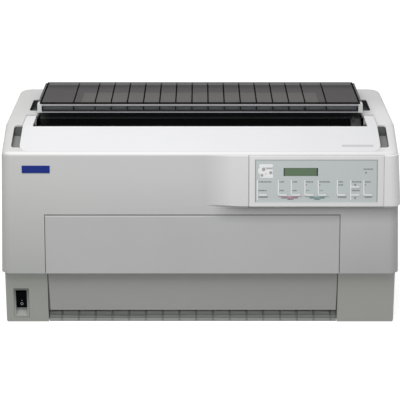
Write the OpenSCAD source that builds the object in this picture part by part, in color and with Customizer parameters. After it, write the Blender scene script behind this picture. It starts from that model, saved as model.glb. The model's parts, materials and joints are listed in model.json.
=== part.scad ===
/* [Case] */
// Width of the upper case at its waist
case_w = 705; // [701:2:709]
// Depth of the upper case
case_d = 382; // [380:1:384]
// Height of the line where the upper case steps in to the lower one
waist_z = 98.5; // [98:0.5:99.5]
// Height of the flat deck
deck_z = 341; // [340:0.5:342]
// Height of the front rim
rim_z = 314; // [313:0.5:315]
// Distance that the front face leans back between waist and rim
lean = 24.6; // [24:0.2:25]
// How far the deck is in from the waist on each side
deck_in = 2.5; // [2:0.5:4]
// Radius of the front corners
corner_r = 18; // [17:0.5:19]
// Wall of the mouldings
wall = 3; // [2.8:0.1:3.2]

/* [Lower case] */
// How far the lower case is in from the waist on each side
base_in = 4; // [3.5:0.5:5]
// Distance of its front face behind the waist
base_set = 15; // [14:0.5:16]
// Width of the block left of the front cover
left_block_w = 76.5; // [76:0.5:78]
// Width of the block right of the front cover
right_block_w = 102.5; // [101:0.5:104]
// Height of the feet below the lower case
foot_h = 3; // [2:0.5:3]
// Height of its lower edge, which hides most of the feet
skirt_z = 0.6; // [0.5:0.1:1.5]

/* [Top cover] */
// How far the top cover is in from the waist on each side
lid_in = 35.5; // [34.5:0.5:36.5]
// Front edge of the top cover
lid_front = 33; // [32:0.5:34]
// Front edge of the print opening
opening_front = 104; // [103:0.5:105]
// Width of the arms beside the print opening
arm_w = 19; // [18:0.5:20]
// Pivot of the top cover, distance from the front
lid_pivot = 171; // [170:0.5:172]
// Depth of its pivot below the deck
pivot_drop = 9.5; // [9:0.5:10]

/* [Output cover] */
// Height of the smoked window above the deck
window_rise = 22; // [21:0.5:23]
// Gap beside the smoked window
window_in = 4.5; // [4:0.5:5]
// Front edge of the smoked window
window_front = 180; // [179:0.5:181]
// Distance of the smoked window from the case's back
window_behind = 39; // [38:0.5:40]
// Spacing of the ribs under the smoked window
rib_pitch = 29.6; // [29:0.1:30]

/* [Front cover] */
// Height of its top edge
cover_top = 203.5; // [203:0.5:205]
// Height of its bottom edge
cover_bottom = 23; // [22:0.5:24]
// Height of its pivot
cover_pivot_z = 34; // [33:0.5:35]

/* [Control panel] */
// Width of the bezel
bezel_w = 237.2; // [236:0.2:239]
// How far its right end is in from the waist
bezel_in = 30.7; // [30.3:0.2:31.1]
// Height of its bottom edge
bezel_bottom = 222; // [221:0.5:223]
// Height of its top edge
bezel_top = 308; // [307:0.5:308]
// How far the bottom edge stands out of the case
bezel_out = 10; // [9:0.5:10]
// Width of the key bars
key_w = 15.6; // [14:0.2:16]

/* [Mechanism] */
// Radius of the platen
platen_r = 17.5; // [17:0.1:17.5]
// Distance of the platen from the front
platen_y = 190; // [189.5:0.5:190.5]
// Height of the platen
platen_z = 285; // [284.5:0.5:285.5]
// Radius of the guide rod that carries the carriage
rod_r = 6; // [5.8:0.1:6]
// Radius of the belt pulleys
pulley_r = 15; // [14:0.5:15]
// Gap between a shaft and its hole
run_gap = 0.05; // [0.03:0.01:0.08]
// Gap between panels
seam = 0.8; // [0.6:0.1:1]

/* [Hidden] */
$fn = 48;
slim = 0.02;

case_colour = "gainsboro";
base_colour = "darkgray";
white_colour = "whitesmoke";
steel_colour = "lightslategray";
dark_colour = "dimgray";

back_r = 25;
edge_r = 8;
base_back = case_d - 5;
deck_w = case_w - 2 * deck_in;
base_w = case_w - 2 * base_in;
left_block = base_w / 2 - left_block_w;
right_block = base_w / 2 - right_block_w;
cover_left = -left_block - 2;
cover_right = right_block + 1;
lid_w = case_w - 2 * lid_in;
lid_pivot_z = deck_z - pivot_drop;
opening_w = lid_w - 2 * arm_w;
window_w = opening_w - 2 * window_in;
window_z = deck_z + window_rise;
window_back = case_d - window_behind;
bezel_right = case_w / 2 - bezel_in;
bezel_left = bezel_right - bezel_w;
post_x = base_w / 2 - 14.5;
post_v = [90, case_d - 82];
foot_v = [110, case_d - 92];
rear_half = case_w / 2 - 70;
rear_top = 300;
frame_x = opening_w / 2 + 8;
frame_t = 2.5;
drive_x = frame_x - 34;
pin_r = 3;
panel_x = (bezel_left + bezel_right) / 2;
bezel_top_out = 2.6;
under_z = bezel_bottom - 5.5;
well_back = case_d - 18;
slope_back = opening_front + 8;

// Y of a point at a distance v behind the front line
function at(v) = v - case_d / 2;
// Distance of the leaning front face from the front line, at height z
function face(z) = lean * (z - waist_z) / (rim_z - edge_r - waist_z);
function arc_points(c, r, a0, a1, n = 8) =
    [for (i = [0:n]) c + r * [cos(a0 + (a1 - a0) * i / n), sin(a0 + (a1 - a0) * i / n)]];

// A solid with an outline drawn in distance and height, running along X
module along_x(x0, x1) {
    translate([x0, 0, 0]) rotate([90, 0, 90]) linear_extrude(x1 - x0) children();
}

module box(x0, x1, v0, v1, z0, z1) {
    translate([x0, at(v0), z0]) cube([x1 - x0, v1 - v0, z1 - z0]);
}

module rod_x(x0, x1, v, z, r) {
    translate([x0, at(v), z]) rotate([0, 90, 0]) cylinder(r = r, h = x1 - x0);
}

module rod_z(x, v, z0, z1, r) {
    translate([x, at(v), z0]) cylinder(r = r, h = z1 - z0);
}

module rod_y(x, v0, v1, z, r) {
    translate([x, at(v0), z]) rotate([-90, 0, 0]) cylinder(r = r, h = v1 - v0);
}

function round_rect(x0, x1, y0, y1, r) = concat(
    arc_points([x1 - r, y1 - r], r, 0, 90), arc_points([x0 + r, y1 - r], r, 90, 180),
    arc_points([x0 + r, y0 + r], r, 180, 270), arc_points([x1 - r, y0 + r], r, 270, 360));

/* Upper case: one shell, its form a hull of rounded discs */

module coin(r, edge) {
    for (a = [0:18:90])
        translate([0, 0, -edge * (1 - sin(a)) - slim]) cylinder(r = r - edge * (1 - cos(a)), h = slim);
}

module case_form(inset, bottom) {
    rim_c = case_w / 2 - 4.3;
    hull() for (side = [-1, 1]) {
        translate([side * (case_w / 2 - corner_r), at(corner_r), waist_z - bottom])
            cylinder(r = corner_r - inset, h = slim);
        translate([side * (case_w / 2 - back_r), at(case_d - back_r), waist_z - bottom])
            cylinder(r = back_r - inset, h = slim);
        translate([side * (rim_c - corner_r), at(lean + corner_r), rim_z - inset])
            coin(corner_r - inset, edge_r);
        translate([side * (deck_w / 2 - back_r), at(opening_front + back_r), deck_z - inset])
            coin(back_r - inset, edge_r);
        translate([side * (deck_w / 2 - back_r), at(case_d - back_r), deck_z - inset])
            coin(back_r - inset, edge_r);
    }
}

module plan_prism(points, z0, z1) {
    translate([0, 0, z0]) linear_extrude(z1 - z0) polygon([for (p = points) [p[0], at(p[1])]]);
}

function lid_outline(g) = concat(
    [[lid_w / 2 + g, lid_pivot + 10.5 + g], [-lid_w / 2 - g, lid_pivot + 10.5 + g]],
    arc_points([-lid_w / 2 + 18, lid_front + 18], 18 + g, 180, 270),
    arc_points([lid_w / 2 - 18, lid_front + 18], 18 + g, 270, 360));

// Height of the case's top at a distance v from the front
function roof(v) = min(deck_z, rim_z + (v - lid_front) * (deck_z - rim_z) / (slope_back - lid_front));

// A well beside a cover, open towards the cover, with a floor that follows the roof;
// its end walls stay below the cover for the width of "under"
module finger_well(side, x0, x1, v0, v1, depth, under) {
    mirror([side < 0 ? 1 : 0, 0, 0]) difference() {
        along_x(x0 + 1.5, x1 + 2) polygon([[at(v0 - 2), roof(v0 - 2) - 1], [at(v1 + 2), roof(v1 + 2) - 1],
            [at(v1 + 2), roof(v1) - depth - 2], [at(v0 - 2), roof(v0) - depth - 2]]);
        along_x(x0, x1) polygon([[at(v0), roof(v0) + 5], [at(v1), roof(v1) + 5],
            [at(v1), roof(v1) - depth], [at(v0), roof(v0) - depth]]);
        along_x(x0, x0 + under) polygon([[at(v0 - 5), roof(v0 - 5) + 5], [at(v1 + 5), roof(v1 + 5) + 5],
            [at(v1 + 5), roof(v1 + 5) - 4], [at(v0 - 5), roof(v0 - 5) - 4]]);
    }
}

module well_cut(side, x0, x1, v0, v1) {
    mirror([side < 0 ? 1 : 0, 0, 0])
        plan_prism(concat([[x0, v1], [x0, v0]], arc_points([x1 - 6, v0 + 6], 6, -90, 0),
            arc_points([x1 - 6, v1 - 6], 6, 0, 90)), rim_z - 20, deck_z + 5);
}

module well_cuts() {
    for (side = [-1, 1]) {
        well_cut(side, lid_w / 2 - 7, lid_w / 2 + 15, 43, 110);
        well_cut(side, opening_w / 2 - 1, opening_w / 2 + 18, 210, 293);
    }
}

// The swell beside the panel: rings of six points, joined two by two
function swell_left(x) = let (
    t = (x - 5) / (bezel_left - 5), f = t * t * (3 - 2 * t), low = under_z + 3 * (1 - f)) [
    [x, at(face(bezel_top + 1) + 2), bezel_top + 1],
    [x, at(face(bezel_top) - bezel_top_out * f), bezel_top],
    [x, at(face(bezel_bottom) - bezel_out * f), bezel_bottom],
    [x, at(face(low)), low - 0.2],
    [x, at(face(low) + 2), low],
    [x, at(face(bezel_bottom) + 2.5), bezel_bottom]];

function around(cx, cv, a, r, z) = [cx + r * sin(a), at(cv - r * cos(a)), z];
function swell_right(a, back) = let (
    top_c = [case_w / 2 - 4 - corner_r, face(bezel_top) - bezel_top_out + corner_r + back],
    low_c = [case_w / 2 - corner_r, face(bezel_bottom) - bezel_out + corner_r + back],
    in_c = [case_w / 2 - 2.5 - corner_r, face(under_z) + corner_r + back],
    out = back > 0 ? -3 : 0) [
    around(top_c[0], top_c[1], a, corner_r - 3, bezel_top + 1),
    around(top_c[0], top_c[1], a, corner_r + out, bezel_top),
    around(low_c[0], low_c[1], a, corner_r + out * 2, bezel_bottom),
    around(in_c[0], in_c[1], a, corner_r - 0.4, under_z - 0.2),
    around(in_c[0], in_c[1], a, corner_r - 2, under_z),
    around(low_c[0], low_c[1], a, corner_r - 8, bezel_bottom)];

module dot(p) {
    translate(p) cube(slim, center = true);
}

module swell_piece(ring_a, ring_b) {
    hull() {
        for (p = ring_a) dot(p);
        for (p = ring_b) dot(p);
    }
}

module swell() {
    steps = 10;
    dx = (bezel_left - 5) / steps;
    for (i = [0:steps - 1]) swell_piece(swell_left(5 + dx * i), swell_left(5 + dx * (i + 1)));
    swell_piece([for (p = swell_right(0, 0)) [bezel_right, p[1], p[2]]], swell_right(0, 0));
    for (a = [0:15:75]) swell_piece(swell_right(a, 0), swell_right(a + 15, 0));
    swell_piece(swell_right(90, 0), swell_right(90, 45));
}

module upper_case() color(case_colour) {
    notch_top = cover_top + seam;
    difference() {
        union() {
            difference() {
                case_form(0, 0);
                case_form(wall, 5);
                plan_prism(lid_outline(seam), rim_z - 14, deck_z + 9);
                box(-opening_w / 2, opening_w / 2, lid_pivot, well_back, deck_z - 30, deck_z + 9);
                well_cuts();
            }
            // Ledge that carries the top cover
            intersection() {
                difference() {
                    case_form(wall - 0.05, 0);
                    case_form(wall + 2.5, 5);
                }
                difference() {
                    plan_prism(lid_outline(4), rim_z - 20, deck_z + 9);
                    plan_prism(lid_outline(-6), rim_z - 21, deck_z + 10);
                    box(-case_w / 2, case_w / 2, opening_front + 30, case_d, rim_z - 21, deck_z + 10);
                    well_cuts();
                }
            }
            // Lip that rests on the lower case
            difference() {
                intersection() {
                    case_form(1, 0);
                    box(-case_w / 2, case_w / 2, 0, case_d, waist_z, waist_z + 3);
                }
                box(-base_w / 2 + 6, base_w / 2 - 6, base_set + 5, base_back - 6,
                    waist_z - 1, waist_z + 4);
            }
            for (side = [-1, 1]) {
                finger_well(side, lid_w / 2 - 7, lid_w / 2 + 15, 43, 110, 16, 8);
                finger_well(side, opening_w / 2 + 0.5, opening_w / 2 + 18, 210, 293, 12, 0.1);
                // Posts for the case screws, each with a web to the side wall
                for (v = post_v) {
                    rod_z(side * post_x, v, waist_z, waist_z + 40, 6);
                    translate([side * (post_x + 7), at(v), waist_z + 20]) cube([14, 3, 40], center = true);
                }
            }
            swell();
            // Return walls beside the front cover
            for (x = [cover_left - 3, cover_right])
                intersection() {
                    case_form(1, 0);
                    box(x, x + 3, 0, 40, waist_z, notch_top + 3);
                }
            intersection() {
                case_form(1, 0);
                box(cover_left, cover_right, 0, 22, notch_top, notch_top + 3);
            }
        }
        // Notch for the front cover
        box(cover_left, cover_right, -1, 60, waist_z - 1, notch_top);
        // Window for the control panel
        box(bezel_left, bezel_right, -5, face(bezel_top) + 6.5, under_z - 0.5, bezel_top + 1);
        for (side = [-1, 1]) {
            for (v = post_v) rod_z(side * post_x, v, waist_z - 1, waist_z + 30, 1.6);
            // Room for the ears of the rear cover
            translate([side * (rear_half + 4), at(case_d - 8.5), waist_z + 7]) cube([6, 11, 16], center = true);
        }
        // Opening behind the rear cover
        box(-rear_half - 1, rear_half + 1, case_d - 12, case_d + 1, waist_z - 1, rear_top + 1);
        // Cooling louvres in both side walls
        for (side = [-1, 1], v = [200:12:case_d - 62])
            translate([side * case_w / 2, at(v), 150]) cube([30, 4, 60], center = true);
    }
}

/* Lower case */

module base_block(x0, x1) {
    difference() {
        box(x0, x1, base_set, base_set + 75, skirt_z, waist_z);
        box(x0 + wall, x1 - wall, base_set + wall, base_set + 90, skirt_z - 1, foot_h);
        box(x0 + wall, x1 - wall, base_set + wall, base_set + 90, foot_h + 2.5, waist_z + 1);
    }
}

module base_tray() color(base_colour) {
    half = base_w / 2;
    difference() {
        union() {
            difference() {
                plan_prism(round_rect(-half, half, base_set, base_back, 10), skirt_z, waist_z);
                plan_prism(round_rect(-half + wall, half - wall, base_set + wall, base_back - wall, 7),
                    foot_h + 2.5, waist_z + 1);
                plan_prism(round_rect(-half + wall, half - wall, base_set + wall, base_back - wall, 7),
                    skirt_z - 1, foot_h);
                box(-left_block, right_block, base_set - 1, base_set + 20, skirt_z - 1, waist_z + 1);
            }
            base_block(-half + 2, -left_block);
            base_block(right_block, half - 2);
            // Sill under the front cover
            box(-left_block, right_block, base_set + 9, base_set + 22, foot_h, foot_h + 2.5);
            // Posts: case screws, frame feet, boards
            for (x = [-post_x, post_x], v = post_v) rod_z(x, v, foot_h, waist_z, 7);
            for (x = [6 - frame_x, frame_x - 6], v = foot_v) rod_z(x, v, foot_h, 77.5, 8);
            // Ears of the rear cover
            for (x = [-rear_half - 6, rear_half + 2]) box(x, x + 4, case_d - 13, case_d - wall - 0.1, waist_z - 10, waist_z + 13);
        }
        for (x = [-post_x, post_x], v = post_v) {
            rod_z(x, v, foot_h - 1, waist_z + 1, 2);
            rod_z(x, v, foot_h - 1, waist_z - 20, 4.2);
        }
        rod_x(-left_block - wall - 1, -left_block + 1, 26, cover_pivot_z, pin_r + run_gap);
        rod_x(right_block - 1, right_block + wall + 1, 26, cover_pivot_z, pin_r + run_gap);
        for (x = [-rear_half - 6, rear_half + 2]) rod_x(x - 1, x + 5, rear_pivot[0], rear_pivot[1], rear_pin_r + run_gap);
        box(switch_x - 13.6, switch_x + 13.6, base_set - 1, base_set + 5, 9.6, 64);
        // Rear wall: fan grille, mains inlet, ports
        for (x = [fan_x - 32:8:fan_x + 32]) box(x, x + 4, base_back - 5, base_back + 1, 20, 84);
        box(inlet_x - 14, inlet_x + 14, base_back - 5, base_back + 1, 29, 51);
        box(-186, -54, base_back - 5, base_back + 1, 24, 46);
        // Vent slots in the floor
        for (x = [-60:14:150]) box(x, x + 5, 110, 150, foot_h - 1, foot_h + 4);
    }
}

module entry_guide() color(base_colour) {
    x0 = -left_block + 1.2;
    x1 = right_block - 1.2;
    along_x(x0, x1) polygon(concat(
        [[at(24), foot_h + 6], [at(24), foot_h + 2.5], [at(70), foot_h + 2.5]],
        [for (a = [0:15:75]) [at(70 + 30 * sin(a)), foot_h + 2.5 + 30 * (1 - cos(a))]],
        [for (a = [75:-15:0]) [at(70 + 27 * sin(a) - 1), foot_h + 6 + 26 * (1 - cos(a))]]));
    // Ramp that leads the paper up from the front
    along_x(x0, x1) polygon([[at(17), skirt_z], [at(17), 2.4], [at(33), 13.5], [at(38), 13.5],
        [at(56), foot_h + 5.9], [at(56), foot_h + 2.5], [at(23.8), foot_h + 2.5], [at(23.8), skirt_z]]);
    pitch = (x1 - x0 - 2) / 17;
    for (i = [-8:8]) {
        x = (x0 + x1) / 2 + 5.3 + i * pitch;
        along_x(x, x + 1.6) polygon([[at(18), 3], [at(23.8), foot_h + 2.6], [at(72), foot_h + 5.5],
            [at(84), foot_h + 11], [at(82), foot_h + 14], [at(71), foot_h + 9], [at(40), 14.6], [at(32.5), 14.6], [at(17.3), 4]]);
    }
}

module feet() color("black") {
    for (x = [46.5 - base_w / 2, base_w / 2 - 46.5], v = [50, case_d - 42]) rod_z(x, v, 0, foot_h, 14);
}

module screws() color("silver") {
    for (x = [-post_x, post_x], v = post_v) {
        rod_z(x, v, waist_z - 23, waist_z - 20, 4);
        rod_z(x, v, waist_z - 20, waist_z + 20, 1.55);
    }
}

/* Control panel: drawn flat, then stood up and leaned back */

slant = atan((face(bezel_top) - bezel_top_out - face(bezel_bottom) + bezel_out)
    / (bezel_top - bezel_bottom));
bezel_h = (bezel_top - bezel_bottom) / cos(slant);
mid_v = (face(bezel_top) - bezel_top_out + face(bezel_bottom) - bezel_out) / 2;
module on_panel() {
    translate([panel_x, at(mid_v), (bezel_top + bezel_bottom) / 2]) rotate([90 - slant, 0, 0])
        children();
}

overlay_w = bezel_w - 23;
overlay_low = -bezel_h / 2 + 7;
overlay_high = bezel_h / 2 - 6;
overlay_drop = 1.2;
sheet = 1;
key_h = 3.8;
bar_y = -24;
// The first bar keeps its distance from the left end, the others spread over the width
key_first = 13.9016;
key_share = [-0.5453, -0.3333, -0.1139, 0.098, 0.4071, 0.6349, 0.8478, 0.6349];
key_x = concat([key_first - overlay_w / 2], [for (share = key_share) share * overlay_w / 2]);
key_y = [bar_y, bar_y, bar_y, bar_y, bar_y, bar_y, bar_y, bar_y, bar_y + 14];
lcd = [-0.127 * overlay_w, 16.3, 60, 14];
lamp = [0.4043 * overlay_w, 15];
board_z = -7.4;

module panel_bezel() color(case_colour) {
    skin = 3;
    difference() {
        union() {
            along_x(bezel_left + 0.3, bezel_right - 0.3) polygon([
                [at(face(bezel_top + 0.6)), bezel_top + 0.6],
                [at(face(bezel_top) - bezel_top_out), bezel_top],
                [at(face(bezel_bottom) - bezel_out), bezel_bottom],
                [at(face(under_z)), under_z],
                [at(face(under_z) + skin), under_z],
                [at(face(bezel_bottom) - bezel_out + skin + 2), bezel_bottom + skin],
                [at(face(bezel_top) - bezel_top_out + skin), bezel_top - skin],
                [at(face(bezel_top) + skin + 3), bezel_top - skin],
                [at(face(bezel_top) + skin + 3), bezel_top + 0.6]]);
            on_panel() for (x = [0.8 - overlay_w / 2, overlay_w / 2 - 0.8], y = [overlay_low + 8, overlay_high - 8])
                translate([x, y, board_z]) cylinder(r = 2.4, h = -board_z - 1);
        }
        on_panel() translate([-overlay_w / 2, overlay_low, -overlay_drop - sheet])
            cube([overlay_w, overlay_high - overlay_low, 5]);
        on_panel() translate([-overlay_w / 2 + 4, overlay_low + 4, -12])
            cube([overlay_w - 8, overlay_high - overlay_low - 8, 15]);
    }
}

module panel_overlay() color("silver") {
    on_panel() difference() {
        translate([-overlay_w / 2 + 0.3, overlay_low + 0.3, -overlay_drop - sheet + 0.02])
            cube([overlay_w - 0.6, overlay_high - overlay_low - 0.6, sheet]);
        for (i = [0:8]) translate([key_x[i], key_y[i], 0])
            cube([key_w + 0.8, key_h + 0.8, 9], center = true);
        translate([lcd[0], lcd[1], 0]) cube([lcd[2] + 0.2, lcd[3] + 0.2, 9], center = true);
        translate([lamp[0], lamp[1], -5]) cylinder(r = 1.6, h = 9);
    }
}

module display_window() color("darkseagreen") {
    on_panel() translate([lcd[0], lcd[1], -overlay_drop - 2.6])
        cube([lcd[2], lcd[3], 4.4], center = true);
}

module panel_board() color("darkgreen") {
    on_panel() {
        translate([-overlay_w / 2 - 1.9, overlay_low + 3, board_z - 1.6]) cube([overlay_w + 3.8, 68, 1.6]);
        // Module of the display
        translate([lcd[0] - 38, lcd[1] - 11, board_z]) cube([76, 22, 1.4]);
        // Status lamp
        translate([lamp[0], lamp[1], board_z]) cylinder(r = 1.4, h = 6.2);
        // Key switches
        for (i = [0:8]) translate([key_x[i] - 3, key_y[i] - 2.5, board_z])
            cube([6, 5, 2.6]);
    }
}

// A key: cap through the overlay and a foot behind it
module key(i) color(white_colour) {
    on_panel() translate([key_x[i], key_y[i], 0]) {
        translate([-key_w / 2, -key_h / 2, -3.2]) cube([key_w, key_h, 2.9]);
        translate([-key_w / 2 - 1.5, -key_h / 2 - 1, -3.4]) cube([key_w + 3, key_h + 2, 1]);
    }
}

module nameplate() color("navy") {
    z0 = 278;
    h = 13;
    along_x(41 - case_w / 2, 90 - case_w / 2) polygon([[at(face(z0) - 1.2), z0], [at(face(z0 + h) - 1.2), z0 + h],
        [at(face(z0 + h)), z0 + h], [at(face(z0)), z0]]);
}

/* Mains switch */

switch_x = 28.7 - base_w / 2;
rocker_z = 41.6;
module switch_bezel() color(base_colour) {
    difference() {
        union() {
            box(switch_x - 13.2, switch_x + 13.2, base_set - 0.6, base_set + 20, 10, 63.6);
            box(switch_x - 15, switch_x + 15, base_set + wall, base_set + wall + 2, 8, 65.6);
        }
        box(switch_x - 10, switch_x + 10, base_set - 2, base_set + 18, rocker_z - 17.4, 61);
        // Scoop that lets a finger reach the rocker
        along_x(switch_x - 10, switch_x + 10) polygon([[at(base_set - 2), 12], [at(base_set), 12],
            [at(base_set + 9), 20], [at(base_set + 10), rocker_z], [at(base_set - 2), rocker_z]]);
        rod_x(switch_x - 12, switch_x + 12, base_set + 12, rocker_z, 2 + run_gap);
    }
}

module power_rocker() color("black") {
    v0 = base_set + 12;
    translate([0, at(v0), rocker_z]) rotate([6, 0, 0]) translate([0, -at(v0), -rocker_z])
        along_x(switch_x - 9.2, switch_x + 9.2) polygon([
            [at(base_set + 4), rocker_z - 15.4], [at(base_set + 6), rocker_z],
            [at(base_set + 4), rocker_z + 15.4], [at(v0), rocker_z + 15],
            [at(v0 + 3), rocker_z + 5], [at(v0 + 3), rocker_z - 5], [at(v0), rocker_z - 15]]);
    rod_x(switch_x - 11.5, switch_x + 11.5, v0, rocker_z, 2);
}

/* Covers */

module top_cover() color(white_colour) {
    skin = 2.5;
    slope_v = slope_back;
    top = [[at(lid_front - 1), roof(lid_front - 1)], [at(slope_v), deck_z]];
    difference() {
        union() {
            intersection() {
                along_x(-lid_w / 2, lid_w / 2) polygon(concat(top, [[at(lid_pivot), deck_z],
                    [at(lid_pivot), deck_z - skin], [at(slope_v), deck_z - skin],
                    [at(lid_front - 1), rim_z - skin - 0.3]]));
                plan_prism(lid_outline(0), rim_z - 20, deck_z + 5);
            }
            // Turned-down edge at the print opening
            box(-opening_w / 2, opening_w / 2, opening_front, opening_front + 2.5,
                deck_z - 14, deck_z - 3);
            // Stiffening ribs
            for (x = [-250:100:250]) along_x(x, x + 2) polygon([[at(lid_front + 14), rim_z + 2],
                [at(opening_front + 1), deck_z - 3], [at(opening_front + 1), deck_z - 11],
                [at(lid_front + 20), rim_z - 4]]);
            // Arms with rounded rear ends and pivot pins
            for (side = [-1, 1]) mirror([side < 0 ? 1 : 0, 0, 0]) {
                rod_x(opening_w / 2 + 2, lid_w / 2, lid_pivot, lid_pivot_z, deck_z - lid_pivot_z);
                rod_x(lid_w / 2 - 1, lid_w / 2 + 6, lid_pivot, lid_pivot_z, pin_r);
                along_x(lid_w / 2 - 13, lid_w / 2 - 10) polygon([[at(lid_front + 18), roof(lid_front + 18) - 2],
                    [at(slope_v), deck_z - 2], [at(lid_pivot), deck_z - 2], [at(lid_pivot), deck_z - 14],
                    [at(slope_v), deck_z - 14], [at(lid_front + 18), roof(lid_front + 18) - 9]]);
            }
        }
        // Print opening between the arms
        box(-opening_w / 2 - 1, opening_w / 2 + 1, opening_front + 2.5, lid_pivot + 20,
            deck_z - 30, deck_z + 9);
    }
}

module hinge_brackets() color(steel_colour) {
    for (side = [-1, 1]) mirror([side < 0 ? 1 : 0, 0, 0]) {
        difference() {
            box(lid_w / 2 + 1.6, lid_w / 2 + 7.6, lid_pivot - 9, lid_pivot + 9, 318, deck_z - wall);
            rod_x(lid_w / 2, lid_w / 2 + 9, lid_pivot, lid_pivot_z, pin_r + run_gap);
        }
        difference() {
            box(opening_w / 2 + 1.5, opening_w / 2 + 7.5, window_back - 9, window_back + 13, 320, deck_z - wall);
            rod_x(opening_w / 2, opening_w / 2 + 9, window_back + 1, lid_pivot_z - 0.5,
                pin_r + run_gap);
        }
    }
}

module front_cover() color(case_colour) {
    skin = 3;
    x0 = cover_left + seam;
    x1 = cover_right - seam;
    low0 = -left_block + seam;
    low1 = right_block - seam;
    step = base_set;
    difference() {
        union() {
            // Upper part, flush with the case, and the underside of its step
            along_x(x0, x1) polygon([[at(0), waist_z], [at(face(cover_top)), cover_top],
                [at(face(cover_top) + 12), cover_top], [at(face(cover_top) + 12), cover_top - skin],
                [at(face(cover_top) + skin), cover_top - skin], [at(skin), waist_z + skin],
                [at(step + skin), waist_z + skin], [at(step + skin), waist_z], [at(0), waist_z]]);
            // Lower part, set back
            along_x(low0, low1) polygon([[at(step), waist_z + 1], [at(step), cover_bottom],
                [at(step + 5), cover_bottom], [at(step + 5), cover_bottom + 2],
                [at(step + skin), cover_bottom + 4], [at(step + skin), waist_z + 1]]);
            for (x = [low0, low0 + 104, low0 + 208, low0 + 312, low0 + 416, low1 - 2.5])
                along_x(x, x + 2.5) polygon([[at(step + 1), waist_z + 1], [at(step + 1), cover_bottom + 2],
                    [at(step + 12), cover_bottom + 5], [at(step + 18), cover_pivot_z + 8],
                    [at(step + 10), waist_z + 1]]);
            for (x = [low0, low1 - 8]) rod_x(x, x + 8, 26, cover_pivot_z, 7);
            rod_x(low0 - 4.6, low0 + 2, 26, cover_pivot_z, pin_r);
            rod_x(low1 - 2, low1 + 4.6, 26, cover_pivot_z, pin_r);
            // Latch hooks at the top edge
            for (x = [x0 + 60, x1 - 68]) box(x, x + 8, face(cover_top) + 2, face(cover_top) + 16,
                cover_top - 22, cover_top - 1);
        }
        // The step's ends stay in front of the lower case when the cover swings
        for (x = [x0 - 1, low1]) box(x, x + low0 - x0 + 1, step - 3, step + 20, waist_z - 1, waist_z + 4);
    }
}

rear_pivot = [case_d - 6.5, 109];
rear_pin_r = 2;
module rear_cover() color(case_colour) {
    difference() {
        union() {
            box(-rear_half, rear_half, case_d - 3, case_d, rear_pivot[1], rear_top);
            for (i = [-2:2]) translate([i * (rear_half - 2) / 2 - 1, 0, 0]) box(0, 2, case_d - 11, case_d - 2, rear_pivot[1], 296);
            // Rolled lower edge, which turns in place
            rod_x(-rear_half, rear_half, rear_pivot[0], rear_pivot[1], 6.4);
            rod_x(-rear_half - 5.5, rear_half + 5.5, rear_pivot[0], rear_pivot[1], rear_pin_r);
        }
        // Slot where rear paper leaves, and cooling slots
        box(50 - rear_half, rear_half - 50, case_d - 5, case_d + 1, 250, 262);
        for (z = [140:9:212]) box(80 - rear_half, rear_half - 80, case_d - 20, case_d + 1, z, z + 3.5);
    }
}

/* Output cover over the print line */

low_rail = window_z - 17.5;
end_rib = 231.5;
rib_room = 2;
tension_v = window_front + 12;
tension_z = window_z - 11;
pivot_v = window_back + 1;
pivot_z = lid_pivot_z - 0.5;
arm_out = opening_w / 2 - 0.5;
arm_in = arm_out - 7.5;

rib_x = concat([-end_rib], [for (i = [-7:6]) (i + 0.5) * rib_pitch], [end_rib]);
module tension_frame() color(dark_colour) {
    for (side = [-1, 1]) mirror([side < 0 ? 1 : 0, 0, 0]) difference() {
        union() {
            along_x(arm_in, arm_out) polygon([[at(window_front - 2), low_rail], [at(window_front - 2), window_z - 2],
                [at(window_back), window_z - 2], [at(window_back + 3), low_rail - 0.5],
                [at(window_back - 6), low_rail - 2.5]]);
            rod_x(arm_in, arm_out, pivot_v, pivot_z, 7);
            along_x(arm_in, arm_out) polygon([[at(pivot_v - 6.9), pivot_z], [at(pivot_v + 6.9), pivot_z],
                [at(pivot_v + 2), low_rail + 4.5], [at(pivot_v - 10), low_rail + 4.5]]);
            rod_x(arm_in + 2, opening_w / 2 + 6.5, pivot_v, pivot_z, pin_r);
        }
        rod_x(arm_in - 1, arm_out - 2, tension_v, tension_z, 2.5 + run_gap);
    }
    for (z = [low_rail, window_z - 5.6]) box(-arm_in - 1, arm_in + 1, window_front - 2, window_front + 2,
        z, z + 3.6);
    box(-arm_in - 1, arm_in + 1, window_back - 6, window_back - 2, low_rail + 0.5, window_z - 5);
}

module smoked_window() color("dimgray", 0.7) {
    difference() {
        union() {
            box(-window_w / 2, window_w / 2, window_front, window_back, window_z - 2, window_z);
            for (x = rib_x)
                along_x(x - 0.6, x + 0.6) polygon([[at(window_front + 2.3), window_z - 1],
                    [at(window_front + 2.3), low_rail + 4], [at(window_front + 20), low_rail + 4],
                    [at(window_front + 45), low_rail + 8.5], [at(window_back - 7), window_z - 7],
                    [at(window_back - 7), window_z - 1]]);
        }
        rod_x(-arm_in, arm_in, tension_v, tension_z, 8);
    }
}

// Rollers between the ribs, on one shaft
module tension_roller() color("slategray") {
    ends = concat([-arm_in + 1], [for (x = rib_x) x], [arm_in - 1]);
    for (i = [0:len(ends) - 2])
        rod_x(ends[i] + rib_room, ends[i + 1] - rib_room, tension_v, tension_z, 5.5);
    rod_x(-arm_out + 2.6, arm_out - 2.6, tension_v, tension_z, 2.5);
}

/* Frames and guides */

shaft_v = 100;
shaft_z = 165;
rod_front = [92, 250];
rod_back = [150, 250];
idler = [139.4, 214.4];
pinion = [platen_y - 20, platen_z - 32.31];
cross = [[130, 110], [100, 140], [case_d - 82, 120], [case_d - 62, 290]];

module frame_plate() {
    along_x(frame_x, frame_x + frame_t) polygon([for (p = [[60, 78], [case_d - 47, 78], [case_d - 47, 318], [215, 322],
        [165, 300], [120, 290], [62, 270]]) [at(p[0]), p[1]]]);
}

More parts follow.
